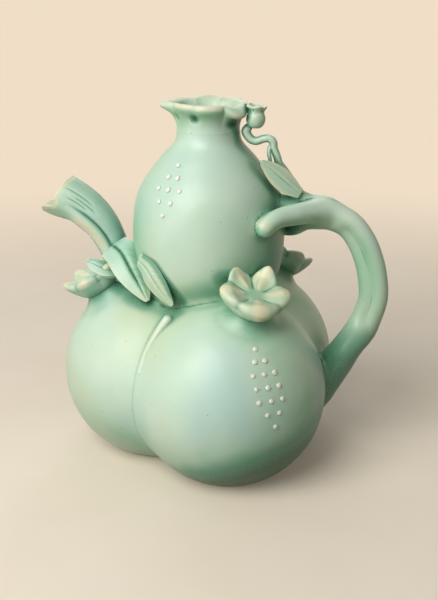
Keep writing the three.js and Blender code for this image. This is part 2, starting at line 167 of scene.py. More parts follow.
class Nodes:
    """A node tree whose nodes are added one by one."""

    def __init__(self, tree):
        self.tree = tree

    def node(self, kind, settings=None, sockets=None):
        made = self.tree.nodes.new("ShaderNode" + kind)
        for key, value in (settings or {}).items():
            setattr(made, key, value)
        for key, value in (sockets or {}).items():
            self.feed(made.inputs[key], value)
        return made

    def feed(self, socket, value):
        source = value.socket if isinstance(value, Level) else value
        if isinstance(source, bpy.types.NodeSocket):
            self.tree.links.new(source, socket)
        else:
            socket.default_value = source

    def seen(self):
        """1 for rays that show the ground and the backdrop, 0 for those that only carry light."""
        rays = self.node("LightPath").outputs
        camera_ray, *others = (Level(self, rays[f"Is {kind} Ray"])
                               for kind in ("Camera", "Glossy", "Transmission"))
        for other in others:
            camera_ray = camera_ray.largest(other)
        return camera_ray


class Glaze(Nodes):
    """A material. Its patterns lie in the pitcher's own space."""

    def __init__(self, name):
        self.material = bpy.data.materials.new(name)
        self.material.use_nodes = True
        super().__init__(self.material.node_tree)
        self.surface = self.tree.nodes["Principled BSDF"]
        self.place = self.node("TexCoord").outputs["Object"]

    def noise(self, scale, detail=2.0, roughness=0.5, distortion=0.0):
        sockets = {"Vector": self.place, "Scale": scale, "Detail": detail,
                   "Roughness": roughness, "Distortion": distortion}
        return Level(self, self.node("TexNoise", {}, sockets).outputs["Fac"])

    def painted(self, name):
        """What a piece's own attribute says at each point."""
        return Level(self, self.node("Attribute", {"attribute_name": name}).outputs["Fac"])

    def mixed(self, share, first, second):
        made = self.node("Mix", {"data_type": "RGBA"})
        self.feed(made.inputs["Factor"], share)
        for socket, value in ((made.inputs[6], first), (made.inputs[7], second)):
            self.feed(socket, (*value, 1) if isinstance(value, tuple) else value)
        return made.outputs[2]

    def finish(self, colour, roughness, height, depth):
        """Feeds the surface its colour, its roughness and a relief whose depth is in metres."""
        bump = self.node("Bump", {}, {"Height": height, "Distance": depth, "Strength": 1.0})
        self.feed(self.surface.inputs["Base Color"], colour)
        self.feed(self.surface.inputs["Roughness"], roughness)
        self.feed(self.surface.inputs["Normal"], bump.outputs[0])

    def coat(self, weight, roughness):
        """The clear gloss on top."""
        self.feed(self.surface.inputs["Coat Weight"], weight)
        self.surface.inputs["Coat Roughness"].default_value = roughness


# %% [markdown]
# ## The celadon glaze
# Celadon is a thick, slightly cloudy glass. Where it pools in a crease it is deep blue-green, and
# where it runs thin over an edge the pale clay shows through, cream or faintly yellow. So the
# colour follows three values that each piece carries: how thick the glaze lies at a point, with
# painted shade added in the creases and under the fruits; how sharply the point stands out; and a
# painted highlight on the side that faces the light, which on the strip in the groove is the milky
# white of its slip. Slow clouds of blue and straw and a scatter of tiny iron specks finish it.

# %% Glaze colours
def linear(red, green, blue):
    """A screen colour, 0 to 255, as the linear light that a shader works in."""
    return tuple(((c / 255 + 0.055) / 1.055) ** 2.4 for c in (red, green, blue))


# The first tints the painted highlight, and the milky slip of the strip in the groove
MILKY_HIGHLIGHT = linear(216, 234, 218)
PALE = linear(200, 222, 198)
MIDDLE = linear(128, 196, 150)
BLUE = linear(172, 208, 204)
STRAW = linear(206, 214, 172)
# TEAL and DEEP colour the pooled glaze together with the painted shade
TEAL = linear(84, 150, 120)
DEEP = linear(42, 92, 58)
CREAM = linear(230, 225, 188)
SPECK = linear(38, 52, 40)
CLAY = linear(176, 140, 108)


def celadon(name, paler):
    """The glaze, as it lies on the body (paler 0) or thinner on the small pieces (paler 1)."""
    glaze = Glaze(name)
    pool_and_shade, thin, milk_and_highlight = (glaze.painted(value) for value in ("pool_and_shade", "thin", "milk_and_highlight"))
    cloud = glaze.noise(26, 3, 0.55, 0.3)
    drift = glaze.noise(14, 2, 0.5, 0.6)
    grain = glaze.noise(1100, 2, 0.6)
    # Slow clouds
    base = glaze.mixed(0.26 + 0.42 * cloud.between(0.36, 0.68), PALE, MIDDLE)
    # A painted highlight on the side that faces the light, and the strip's milky white
    base = glaze.mixed(milk_and_highlight, base, MILKY_HIGHLIGHT)
    base = glaze.mixed(drift.between(0.48, 0.7) * 0.55, base, BLUE)
    base = glaze.mixed((1 - drift).between(0.52, 0.72) * 0.5, base, STRAW)
    # Thick glaze and painted shade in the creases and under the fruits, stippled where darkest
    pooled_and_shaded = (pool_and_shade + (cloud - 0.5) * 0.2).between(0.1, 0.62)
    base = glaze.mixed(pooled_and_shaded * 0.85, base, TEAL)
    stipple = (grain - 0.5) * 0.6
    base = glaze.mixed((pool_and_shade + stipple * pool_and_shade).between(0.55, 1.15), base, DEEP)
    # Thin on the edges
    bare = (thin + (cloud - 0.5) * 0.3).between(0.25, 0.9)
    base = glaze.mixed(bare * (0.7 + 0.15 * paler), base, CREAM)
    # Iron specks, in a few of many small cells
    sockets = {"Vector": glaze.place, "Scale": 520.0}
    cells = glaze.node("TexVoronoi", {"feature": "F1"}, sockets)
    near = Level(glaze, cells.outputs["Distance"])
    lot = glaze.node("SeparateColor", {}, {"Color": cells.outputs["Color"]})
    chosen = Level(glaze, lot.outputs[0]).between(0.965, 0.97)
    speck = (1 - near.between(0.08, 0.2)) * chosen
    base = glaze.mixed(speck * 0.6, base, SPECK)
    # Bare clay on the last millimetre above the ground
    height = Level(glaze, glaze.node("SeparateXYZ", {}, {"Vector": glaze.place}).outputs[2])
    foot = 1 - (height + (glaze.noise(160) - 0.5) * 0.0006).between(0.0004, 0.0009)
    base = glaze.mixed(foot, base, CLAY)
    ripple = glaze.noise(60, 2, 0.5) * 0.7 + glaze.noise(420, 2, 0.5) * 0.12 + grain * 0.03
    glaze.finish(base, 0.34 + cloud * 0.14 + foot * 0.4 + speck * 0.2, ripple, 0.0005)
    glaze.coat((1 - foot) * 0.15, 0.24)
    glaze.surface.inputs["IOR"].default_value = 1.5
    return glaze.material


body_glaze = celadon("thick_celadon", 0)
small_glaze = celadon("thin_celadon", 1)
print("glazes:", body_glaze.name, small_glaze.name)

# %% [markdown]
# ## White slip
# The seeds are dots of white liquid clay, trailed on before glazing. Each one is milky, and
# grey-green round its rim, where the glaze pools against it and painted shade falls at its foot.

# %% Slip
slip = Glaze("slip_dots")
slip_cloud = slip.noise(500, 2, 0.5)
slip_base = slip.mixed(slip_cloud.between(0.35, 0.7), linear(240, 240, 228), linear(222, 230, 214))
# Pooled glaze and painted shade round each dot's foot
slip_rim_pool_and_shade = slip.painted("pool_and_shade").between(0.1, 0.7)
slip_base = slip.mixed(slip_rim_pool_and_shade * 0.7, slip_base, linear(150, 184, 164))
slip.finish(slip_base, 0.2 + slip_cloud * 0.14, slip_cloud, 0.00015)
slip.coat(0.5, 0.08)
slip_material = slip.material
print("slip:", slip_material.name)

# %% [markdown]
# ## Floor
# The pitcher stands on a plain pale sheet. It catches the shadow, and a very slow mottling keeps
# it from being one flat colour. Far off it fades into the backdrop. Both look pale where they are
# seen, straight or in a reflection, and are darker for the other rays, so that they light the
# pitcher less than such a pale sheet would and the fruits stay dark below.

# %% Floor and sky
BACKDROP = linear(240, 222, 199)
FLOOR_SIZE = 60
bpy.ops.object.select_all(action="DESELECT")
bpy.ops.mesh.primitive_plane_add(size=FLOOR_SIZE, location=(0, 0, 0))
floor = bpy.context.object
floor.name = "floor"
sheet = Glaze("pale_floor")
mottle = sheet.noise(9, 3, 0.6)
seen = sheet.seen()
pale = sheet.mixed(mottle.between(0.3, 0.7), linear(250, 238, 220), linear(246, 233, 213))
sheet_colour = sheet.mixed(seen, linear(130, 118, 104), pale)
sheet.finish(sheet_colour, 0.9 + mottle * 0.05, mottle, 0.0002)
far = sheet.node("VectorMath", {"operation": "LENGTH"}, {0: sheet.place}).outputs["Value"]
fade = seen * (0.1 + 0.9 * Level(sheet, far).between(0.2, 0.7))
plain = sheet.node("Emission", {}, {"Color": (*BACKDROP, 1), "Strength": 1.0})
sockets = {0: fade, 1: sheet.surface.outputs[0], 2: plain.outputs[0]}
fading = sheet.node("MixShader", {}, sockets)
sheet.feed(sheet.tree.nodes["Material Output"].inputs["Surface"], fading.outputs[0])
floor.data.materials.append(sheet.material)

world = bpy.context.scene.world or bpy.data.worlds.new("world")
bpy.context.scene.world = world
world.use_nodes = True
world.node_tree.nodes.clear()
sky = Nodes(world.node_tree)
ambient = sky.node("Background", {}, {"Color": (0.96, 0.98, 1.0, 1), "Strength": 0.15})
backdrop = sky.node("Background", {}, {"Color": (*BACKDROP, 1), "Strength": 1.0})
either = sky.node("MixShader", {}, {0: sky.seen(), 1: ambient.outputs[0], 2: backdrop.outputs[0]})
sky.node("OutputWorld", {}, {0: either.outputs[0]})
bpy.context.scene.view_settings.view_transform = "Standard"
print("floor and sky ready")

# %% [markdown]
# ## Lines to build along
# Nearly everything on the pitcher follows a curve: the side of a thrown fruit, the run of a
# branch, the midrib of a leaf. A smooth curve through a few measured points is the simplest way
# to say one. This kind (centripetal Catmull-Rom) passes through every point and never loops
# between them.

# %% Curves
def spans(line):
    """How far apart each two neighbouring points of a line lie."""
    return np.linalg.norm(np.diff(line, axis=0), axis=1)


def length_of(line):
    return float(spans(line).sum())


def run_of(line):
    """How far along a line each of its points lies."""
    return np.concatenate([[0], np.cumsum(spans(line))])


def read_off(places_along, run, columns):
    """The values in columns, known along run, at other places along it."""
    return np.stack([np.interp(places_along, run, column) for column in columns.T], axis=1)


def through(points, count):
    """A smooth line through points, as count places evenly spaced along it."""
    knots = np.array([tuple(p) for p in points], float)
    ends = np.vstack([2 * knots[0] - knots[1], knots, 2 * knots[-1] - knots[-2]])
    fine = []
    for four in zip(ends, ends[1:], ends[2:], ends[3:]):
        times = [0.0]
        for here, there in zip(four, four[1:]):
            times.append(times[-1] + max(np.linalg.norm(there - here), 1e-6) ** 0.5)
        t = np.linspace(times[1], times[2], 40, endpoint=False)[:, None]

        def blend(first, second, start, end):
            start, end = times[start], times[end]
            return (end - t) / (end - start) * first + (t - start) / (end - start) * second

        near = [blend(four[i], four[i + 1], i, i + 1) for i in range(3)]
        wide = [blend(near[i], near[i + 1], i, i + 2) for i in range(2)]
        fine.append(blend(*wide, 1, 2))
    fine = np.vstack([*fine, knots[-1:]])
    run = run_of(fine)
    return read_off(np.linspace(0, run[-1], count), run, fine)


def ramp(value, start, end):
    """0 up to start, 1 from end, and smooth between them."""
    share = np.clip((np.asarray(value, float) - start) / (end - start), 0, 1)
    return share * share * (3 - 2 * share)


def way_out(bearing, climb):
    """The way that points at a bearing and a climb in degrees."""
    turn, rise = math.radians(bearing), math.radians(climb)
    level = math.cos(rise)
    return np.array([level * math.cos(turn), level * math.sin(turn), math.sin(rise)])


# %% [markdown]
# ## The main sizes
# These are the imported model's own sizes, in millimetres off the upper fruit's axis. The lower
# fruits are balls of 96 mm that stand 28 mm off the axis, and the upper fruit sinks between them.

# %% Sizes
FRUIT_RADIUS = 48.2
FRUIT_OFFSET = 28.0
CENTRE_HEIGHT = FRUIT_RADIUS - 6.3  # the balls stand on flats cut 6.3 mm up
NECK_RADIUS = 9.5
NECK_TOP = FRUIT_RADIUS + 3.3  # from a ball's centre
UPPER_RADIUS = 37.9
UPPER_HEIGHT = 94.5
CROSSING = CENTRE_HEIGHT + math.sqrt(FRUIT_RADIUS ** 2 - FRUIT_OFFSET ** 2)  # balls over the axis
UPPER_FOOT = CROSSING - 7.2
UPPER_WIDEST = UPPER_FOOT + 40
UPPER_NECK = UPPER_FOOT + UPPER_HEIGHT
UPPER_NECK_RADIUS = 15.2

# Each lower fruit's bearing off the axis, and the way that its stalk end looks
fruits = {
    "front": (-60, way_out(-45, 69.5)),
    "back": (60, way_out(56, 56)),
    "left": (180, way_out(186, 58)),
}
centres = {place: way_out(bearing, 0) * FRUIT_OFFSET + (0, 0, CENTRE_HEIGHT)
           for place, (bearing, stalk) in fruits.items()}
stalks = {place: stalk for place, (bearing, stalk) in fruits.items()}


def rise(low_height, high_height, share):
    return low_height + (high_height - low_height) * share


upper_side = through([
    (13, UPPER_FOOT),
    (0.69 * UPPER_RADIUS, rise(UPPER_FOOT, UPPER_WIDEST, 0.18)),
    (0.93 * UPPER_RADIUS, rise(UPPER_FOOT, UPPER_WIDEST, 0.56)),
    (UPPER_RADIUS, UPPER_WIDEST),
    (0.92 * UPPER_RADIUS, rise(UPPER_WIDEST, UPPER_NECK, 0.43)),
    (0.63 * UPPER_RADIUS, rise(UPPER_WIDEST, UPPER_NECK, 0.73)),
    (1.08 * UPPER_NECK_RADIUS, rise(UPPER_WIDEST, UPPER_NECK, 0.89)),
    (UPPER_NECK_RADIUS, UPPER_NECK),
], 90)


def lower_side():
    """A ball's side that draws up into a short neck, from its bottom to the neck's top."""
    shoulder = math.acos((NECK_RADIUS + 6.2) / FRUIT_RADIUS)
    turns = np.linspace(-math.pi / 2, shoulder, 60)
    ball = np.stack([FRUIT_RADIUS * np.cos(turns), FRUIT_RADIUS * np.sin(turns)], axis=1)
    t = np.linspace(0, 1, 12)[1:, None]
    reach = np.array([[NECK_RADIUS + 2, FRUIT_RADIUS * 0.99]])
    top = np.array([[NECK_RADIUS, NECK_TOP]])
    neck = (1 - t) ** 2 * ball[-1] + 2 * t * (1 - t) * reach + t ** 2 * top
    return np.vstack([ball, neck])


ball_side = lower_side()
print("upper foot", round(UPPER_FOOT, 2), "mm, neck", round(UPPER_NECK, 2), "mm")

# %% [markdown]
# ## Throwing
# A thrown form is a wall raised from a ring of clay. The same thing works here: a circle is
# added, and each extrusion lifts its edge and makes it wider or narrower. It takes one list of
# radii and heights, and gives even faces all round.

# %% Throw and roll
def put_down():
    """Leaves nothing selected."""
    if bpy.context.object and bpy.context.object.mode != "OBJECT":
        bpy.ops.object.mode_set(mode="OBJECT")
    bpy.ops.object.select_all(action="DESELECT")


def pick_up(piece):
    put_down()
    piece.select_set(True)
    bpy.context.view_layer.objects.active = piece


def throw(name, side, sides):
    """A wall raised about +Z. side gives its radii and heights in millimetres, bottom first."""
    put_down()
    radius, height = side[0]
    bpy.ops.mesh.primitive_circle_add(vertices=sides, radius=radius * MM, fill_type="NOTHING")
    piece = bpy.context.object
    piece.name = piece.data.name = name
    bpy.ops.object.mode_set(mode="EDIT")
    bpy.ops.transform.translate(value=(0, 0, height * MM))
    for next_radius, next_height in side[1:]:
        lift = (0, 0, (next_height - height) * MM)
        bpy.ops.mesh.extrude_region_move(TRANSFORM_OT_translate={"value": lift})
        wider = next_radius / radius
        bpy.ops.transform.resize(value=(wider, wider, 1), center_override=(0, 0, 0))
        radius, height = next_radius, next_height
    bpy.ops.mesh.select_all(action="SELECT")
    bpy.ops.mesh.remove_doubles(threshold=0.06 * MM)
    bpy.ops.mesh.normals_make_consistent(inside=False)
    bpy.ops.object.mode_set(mode="OBJECT")
    return piece


def numbers(items, field):
    found = np.empty(len(items) * 3)
    items.foreach_get(field, found)
    return found.reshape(-1, 3)


def put_in(piece, metres):
    piece.data.vertices.foreach_set("co", metres.ravel())
    piece.data.update()


def as_made(piece):
    """A piece's vertices in millimetres, before it is set down in its place."""
    return numbers(piece.data.vertices, "co") / MM


def reshape(piece, local):
    put_in(piece, local * MM)


def places(piece):
    """A piece's vertices in millimetres off the axis, once it is in its place."""
    return (numbers(piece.data.vertices, "co") - AXIS) / MM


def move_to(piece, points):
    put_in(piece, points * MM + AXIS)


def set_down(piece, up, place, right=TO_RIGHT):
    """Turns a piece's own +Z to a way and its +X to the right, and moves it, in its mesh."""
    up = np.array(up, float) / np.linalg.norm(up)
    across = np.array(right) - up * (up @ np.array(right))
    across /= np.linalg.norm(across)
    turn = np.stack([across, np.cross(up, across), up], axis=1)
    move_to(piece, as_made(piece) @ turn.T + np.array(place))


def paint(piece, kind, values):
    """Keeps a number for each vertex, for a material to read."""
    layer = piece.data.attributes.get(kind) or piece.data.attributes.new(kind, "FLOAT", "POINT")
    layer.data.foreach_set("value", np.asarray(values, float))


def painted_on(piece, kind):
    layer = piece.data.attributes.get(kind)
    values = np.zeros(len(piece.data.vertices))
    if layer:
        layer.data.foreach_get("value", values)
    return values


def lay_along(piece, line, facing):
    """Bends a straight piece that stands on +Z along a line. facing says where its +Y looks."""
    local = as_made(piece)
    run = run_of(line)
    height = local[:, 2]
    place = read_off(height, run, line)
    along = read_off(height, run, np.gradient(line, run, axis=0))
    along /= np.linalg.norm(along, axis=1)[:, None]
    across = np.cross(facing(place), along)
    across /= np.linalg.norm(across, axis=1)[:, None]
    out = np.cross(along, across)
    past = height - np.clip(height, 0, run[-1])
    move_to(piece, place + across * local[:, :1] + out * local[:, 1:2] + along * past[:, None])


def roll_radius(line, radius, share):
    """A roll's thickness at a share of its line, with its two ends rounded off."""
    end = radius(round(share))
    near = min(share, 1 - share) * length_of(line) / end
    if near >= 1:
        return radius(share)
    return min(radius(share), end * math.sqrt(1 - (1 - near) ** 2))


def roll(name, line, radius, facing, sides, step):
    """A roll of clay laid along a line, with a ring every step and more of them near its ends.
    radius(share) gives its thickness."""
    length = length_of(line)
    count = max(8, int(length / step))
    ends = np.array([0.15, 0.4, 0.8, 1.4, 2.2]) / length
    shares = np.unique(np.concatenate([np.linspace(0, 1, count + 1), ends, 1 - ends]))
    side = [(max(0.02, roll_radius(line, radius, share)), share * length) for share in shares]
    piece = throw(name, side, sides)
    lay_along(piece, line, facing)
    return piece


def constant(way):
    return lambda place: np.broadcast_to(np.array(way, float), place.shape)


def away_from(centre):
    return lambda place: (place - centre) / np.linalg.norm(place - centre, axis=1)[:, None]


# %% [markdown]
# ## Lines of the small pieces
# Every applied piece follows a line over a fruit. The points are bearings and heights on the
# fruit with a lift off it, so that the line keeps to the form.

# %% Lines
def off_upper(points):
    """Points off the upper fruit: bearing in degrees, share of its height, lift in mm."""
    made = []
    for bearing, share, lift in points:
        height = UPPER_FOOT + share * UPPER_HEIGHT
        radius = upper_side[np.abs(upper_side[:, 1] - height).argmin(), 0]
        made.append(way_out(bearing, 0) * (radius + lift) + (0, 0, height))
    return made


def off_lower(place, points):
    """Points off a lower fruit: bearing and climb in degrees, lift in mm."""
    return [centres[place] + way_out(bearing, climb) * (FRUIT_RADIUS + lift)
            for bearing, climb, lift in points]


spout_root = off_lower("left", [(180, 70.6, 0)])[0]
spout_mouth = np.array([-FRUIT_OFFSET - FRUIT_RADIUS - 1.8, 0, CENTRE_HEIGHT + FRUIT_RADIUS + 43.9])
spout_line = through([
    spout_root + (spout_mouth - spout_root) * (out, 0, up)
    for out, up in ((-0.09, -0.245), (0.06, 0.1), (0.15, 0.38), (0.34, 0.66), (0.62, 0.86), (1, 1),
                    (1.35, 1.12))
], 90)


def groove_reach(height):
    """How far out the groove between the front and the back fruit lies at a height."""
    x, y, z = centres["front"]
    return x + math.sqrt(max(0, FRUIT_RADIUS ** 2 - y ** 2 - (height - z) ** 2))


reach = groove_reach(CENTRE_HEIGHT) + 27.6
handle_top = UPPER_FOOT + 52.4
handle_widest = UPPER_FOOT + 14
handle_knee = UPPER_FOOT - 7
handle_knots = [
    (rise(UPPER_RADIUS, reach, 0.27), 0, handle_top),
    (rise(UPPER_RADIUS, reach, 0.49), 0, handle_top + 0.3),
    (rise(UPPER_RADIUS, reach, 0.71), 0, handle_top - 4),
    (rise(UPPER_RADIUS, reach, 0.9), 0, rise(handle_widest, handle_top, 0.55)),
    (reach, 0, handle_widest),
    (reach - 2, 0, rise(handle_knee, handle_widest, 0.5)),
    (reach - 6, 0, handle_knee),
]
handle_line = through(handle_knots, 200)
tang_line = through([
    (reach - 3.4, 0, rise(handle_knee, handle_widest, 0.34)),
    (reach - 6.3, 0, handle_knee + 1),
    *((groove_reach(handle_knee * share) + lift, 0, handle_knee * share)
      for share, lift in ((0.85, 17.6), (0.694, 9.1), (0.537, 3.7), (0.403, 2.1), (0.224, 6))),
], 60)
BRANCH_SPREAD = 2.9  # from the handle's middle line to a branch's
BRANCH_TWIST = 30


def winding(angle):
    """Points that turn round the handle's middle line, from an angle in degrees."""
    slope = np.gradient(handle_line, axis=0)
    front = np.array([0, -1.0, 0])
    made = []
    for share in np.linspace(0, 1, 9):
        i = round(share * (len(handle_line) - 1))
        out = np.cross(slope[i] / np.linalg.norm(slope[i]), front)
        around = math.radians(angle + BRANCH_TWIST * share)
        made.append(handle_line[i] + out * BRANCH_SPREAD * math.cos(around)
                    + front * BRANCH_SPREAD * math.sin(around))
    return made


def into_tang(side):
    """A branch's last points, where it runs into the tang from the front (-1) or the back (1)."""
    made = []
    for share, off in ((0.28, 3.2), (0.42, 2.2), (0.6, 0)):
        x, y, z = tang_line[round(share * (len(tang_line) - 1))]
        made.append((x, side * off, z))
    return made


front_line = through([
    *off_upper([(-43.5, 0.52, 1.6), (-33.3, 0.577, 3.8), (-20.5, 0.593, 7.5)]),
    *winding(150)[1:], *into_tang(-1),
], 160)
back_line = through([
    *off_upper([(42.3, 0.43, -0.6), (32.7, 0.45, 2.2), (16.3, 0.475, 5)]),
    *winding(330), *into_tang(1),
], 160)
first_knot, second_knot, third_knot = (np.array(knot) for knot in handle_knots[:3])
twig_line = through([
    *off_upper([
        (-13, 1.024, 7), (-14.5, 1.001, 4.8), (-14, 0.972, 5.3), (-12.7, 0.951, 6.8),
        (-11.5, 0.947, 9.2), (-10.4, 0.958, 12.1), (-9.1, 0.96, 14.7), (-8.2, 0.945, 16.4),
        (-7.5, 0.91, 15), (-6.7, 0.868, 12.1), (-5.3, 0.799, 9.3), (-3.7, 0.732, 8.1),
        (-2.1, 0.677, 9.8),
    ]),
    first_knot + (0, 0, 7.2), second_knot + (0, 0, 4.3), third_knot + (-2, 0, 0),
], 150)
saddle_line = through([
    *off_upper([(-4, 0.59, -7), (-3, 0.6, 1.5)]),
    first_knot + (0, -1, 1.5), second_knot + (0, -1, 0),
], 40)
strip_line = through(off_lower("front", [
    (-159.6, 54.8, 1.7), (-156, 44, 0.4), (-151.9, 31.3, 0.4), (-148.5, 17.8, 0.8),
]), 60)
print("handle", round(length_of(front_line)), "mm, twig", round(length_of(twig_line)), "mm")

# %% [markdown]
# ## How far off a surface is
# On the real pitcher the pieces are joined with slip, smoothed by a wet finger, and glazed over,
# so no crack shows: one form runs into the next in a small hollow curve. Modelled pieces stay
# separate, so each one is drawn out to the same curve where it meets a neighbour. That needs one
# thing: how far any point is from each form. For turned forms and for rolls a short sum gives it.

# %% Distances
def to_segments(points, starts, ends):
    """How far each point is from each segment, and the segment's share at which it is nearest."""
    way = ends - starts
    gap = points[:, None] - starts[None]
    share = np.clip((gap * way).sum(-1) / np.maximum((way * way).sum(-1), 1e-9), 0, 1)
    apart = np.linalg.norm(gap - share[..., None] * way, axis=-1)
    return apart, share


def off_turned(side, up, centre):
    """Distance to a turned form, less than nothing inside it."""
    outline = np.vstack([[0, side[0][1]], side, [0, side[-1][1]]])
    starts, ends = outline[:-1], outline[1:]

    def distance(points):
        local = points - centre
        height = local @ up
        radius = np.sqrt(np.maximum((local ** 2).sum(1) - height ** 2, 0))
        flat = np.stack([radius, height], axis=1)
        apart, share = to_segments(flat, starts, ends)
        nearest = apart.argmin(1)
        start, way = starts[nearest], (ends - starts)[nearest]
        gap = flat - start
        inside = way[:, 0] * gap[:, 1] - way[:, 1] * gap[:, 0] > 0
        return apart[np.arange(len(points)), nearest] * np.where(inside, -1, 1)

    return distance


def off_roll(line, radius, every=3, rounded=True):
    """Distance to a roll along a line, whose ends are half balls."""
    length = length_of(line)
    first, last = (radius(0) / length, 1 - radius(1) / length) if rounded else (0, 1)
    shares = np.linspace(first, last, len(line) // every)
    knots = read_off(shares, np.linspace(0, 1, len(line)), line)
    radii = np.array([radius(share) for share in shares])
    starts, ends = knots[:-1], knots[1:]

    def distance(points):
        apart, share = to_segments(points, starts, ends)
        return (apart - (radii[:-1] + share * np.diff(radii))).min(1)

    return distance


def spout_radius(share):
    return 7.4 + (10 - 7.4) * float(ramp(share, 0.25, 0.75))


def front_branch_radius(share):
    return 4.6 + 0.7 * float(ramp(share, 0.08, 0.16) * (1 - ramp(share, 0.2, 0.32)))


def back_branch_radius(share):
    return 4.3 + 1.4 * float(1 - ramp(share, 0.12, 0.26))


def saddle_radius(share):
    return 5.2


def strip_radius(share):
    return 2.5 - 1.6 * share


def twig_radius(share):
    return 1.9 + (4.1 - 1.9) * float(ramp(share, 0.5, 0.85))


def tendril_radius(share):
    return 1.25 - 0.55 * share


def tang_radius(share):
    thinning = 0.72 + 0.28 * float(ramp(share, 0, 0.45))
    return 8.2 * min(1, math.sqrt(0.08 + 3 * (1 - share))) * thinning


# Each form, with how softly it runs into its neighbours, in millimetres
forms = {
    "upper_fruit": (off_turned(upper_side, np.array([0, 0, 1.0]), np.zeros(3)), 1.5),
    **{f"{place}_fruit": (off_turned(ball_side[::2], stalks[place], centres[place]), 2.8)
       for place in fruits},
    "spout": (off_roll(spout_line, spout_radius, rounded=False), 1.2),
    "handle_front_branch": (off_roll(front_line, front_branch_radius), 0.8),
    "handle_back_branch": (off_roll(back_line, back_branch_radius), 0.8),
    "saddle": (off_roll(saddle_line, saddle_radius), 2.4),
    "handle_tang": (off_roll(tang_line, tang_radius, every=2), 1.8),
    "bud_twig": (off_roll(twig_line, twig_radius), 2.2),
}
print("forms:", ", ".join(forms))

# %% [markdown]
# ## Running the forms together
# `run_together` moves a piece's outer surface the shortest way onto the surface that all forms
# share when they are softened into one. A little past the crease, where it is inside a neighbour,
# the piece goes under. Both pieces follow the same surface at the crease, so that hardly more
# than a hairline shows. An inner wall is left as it is. Two places come out less well. The forms
# are whole balls without the flats that the pitcher stands on, so between the flats two skins end
# up in one plane, on the floor. And the handle's lower end keeps a small cup.

# %% Run together
FORM_REACH = 12  # a form further off than this has no say
SKIN = 0.6  # a vertex this close to its own form lies on the outside
CREASE = 3.4  # a vertex deeper than this in a neighbour stays where it is
TUCKED, BURIED = 0.6, 0.8  # how far a piece goes under, just past the crease and deeper in
PULLS = 7


def shared_surface(points, chosen):
    """How far points are from the chosen forms run together, and from each form alone."""
    apart = np.stack([forms[name][0](points) for name in chosen])
    soft = np.array([forms[name][1] for name in chosen])[:, None]
    weight = np.exp(-np.clip(apart, 0, 60) / 3)
    softness = (weight * soft).sum(0) / np.maximum(weight.sum(0), 1e-12)
    least = apart.min(0)
    together = least - softness * np.log(np.exp(-(apart - least) / softness).sum(0))
    return together, apart


def pulled_on(points, chosen):
    """Points moved the shortest way onto the shared surface, how far they then are from each form,
    and the way that they moved."""
    points = points.copy()
    for _ in range(PULLS):
        together = shared_surface(points, chosen)[0]
        slope = np.stack([shared_surface(points + step, chosen)[0] - together
                          for step in np.eye(3) * 0.02], axis=1) / 0.02
        steep = np.maximum((slope ** 2).sum(1), 0.25)
        move = np.clip(together, -2, 2) / steep
        points -= slope * move[:, None]
    return points, shared_surface(points, chosen)[1], slope / np.sqrt(steep)[:, None]


def run_together(piece, form):
    """Draws a piece's outside out to the shared surface."""
    points = places(piece)
    ways = numbers(piece.data.vertex_normals, "vector")
    apart = {name: distance(points) for name, (distance, softness) in forms.items()}
    outside = np.abs(apart.pop(form)) < SKIN
    close = [name for name in apart if apart[name][outside].min() < FORM_REACH]
    depth = -np.min([apart[name] for name in close], axis=0)
    near = outside & (depth > -FORM_REACH) & (depth < CREASE)
    start, way = points[near], ways[near]
    moved, now, slope = pulled_on(start, [form, *close])
    past = now[0] - now[1:].min(0)
    moved -= slope * (TUCKED * ramp(past, 0, 1.6))[:, None]
    under = ramp(depth[near], 0.9, 3.2)[:, None]
    points[near] = moved * (1 - under) + (start - way * BURIED) * under
    points[:, 2] = np.maximum(points[:, 2], 0)
    move_to(piece, points)
    print(form, "meets its neighbours at", int(near.sum()), "points")


# %% [markdown]
# ## The four fruits
# The upper fruit is a tall pomegranate whose neck stays open, and through it one looks down to
# the passage that leads below. The lower ones are balls that draw up into a short neck where a
# crown sits. All are hollow. The upper one is thrown up its outside and down its inside. A lower
# one gets a smaller ball inside it, turned inside out. Then only their outsides are run together.

# %% Fruits
FRUIT_SIDES = 200
BALL_WALL, UPPER_WALL = 4.5, 4.0
THROAT, SPOUT_BORE = 8.0, 4.6  # radii of the holes that join the hollows
THROAT_BOTTOM, THROAT_TOP = 62, 90
pieces = {}


def edit(piece, *steps):
    """Runs edit-mode steps on all of a piece."""
    pick_up(piece)
    bpy.ops.object.mode_set(mode="EDIT")
    bpy.ops.mesh.select_all(action="SELECT")
    for step in steps:
        step()
    bpy.ops.object.mode_set(mode="OBJECT")


def work(piece, kind, **settings):
    """Adds a modifier to a piece, sets it and applies it."""
    pick_up(piece)
    tool = piece.modifiers.new(kind.lower(), kind)
    for key, value in settings.items():
        setattr(tool, key, value)
    bpy.ops.object.modifier_apply(modifier=tool.name)


def join(piece, other):
    pick_up(piece)
    other.select_set(True)
    bpy.ops.object.join()


def copy_of(piece):
    pick_up(piece)
    bpy.ops.object.duplicate()
    return bpy.context.object


def throw_away(*spent):
    for piece in spent:
        pick_up(piece)
        bpy.ops.object.delete()


def flat_foot(height):
    """Cuts what is below a height and closes it with a flat."""
    bpy.ops.mesh.bisect(plane_co=(0, 0, height * MM), plane_no=(0, 0, -1),
                        use_fill=True, clear_outer=True)


def pierce(piece, start, end, radius):
    """Bores a round hole from start to end."""
    middle, way = (np.array(start) + end) / 2, np.array(end) - start
    put_down()
    depth = np.linalg.norm(way) * MM
    bpy.ops.mesh.primitive_cylinder_add(vertices=48, radius=radius * MM, depth=depth)
    borer = bpy.context.object
    set_down(borer, way, middle)
    work(piece, "BOOLEAN", object=borer)
    throw_away(borer)


def ball_rings():
    rings = through(ball_side, 112)
    rings[0] = (0.02, rings[0][1])
    closing = [(radius, NECK_TOP) for radius in (7, 4, 2, 0.02)]
    return [*map(tuple, rings), *closing]


def hollow_rings():
    radius = FRUIT_RADIUS - BALL_WALL
    return [(max(0.02, radius * math.cos(turn)), radius * math.sin(turn))
            for turn in np.linspace(-math.pi / 2, math.pi / 2, 60)]


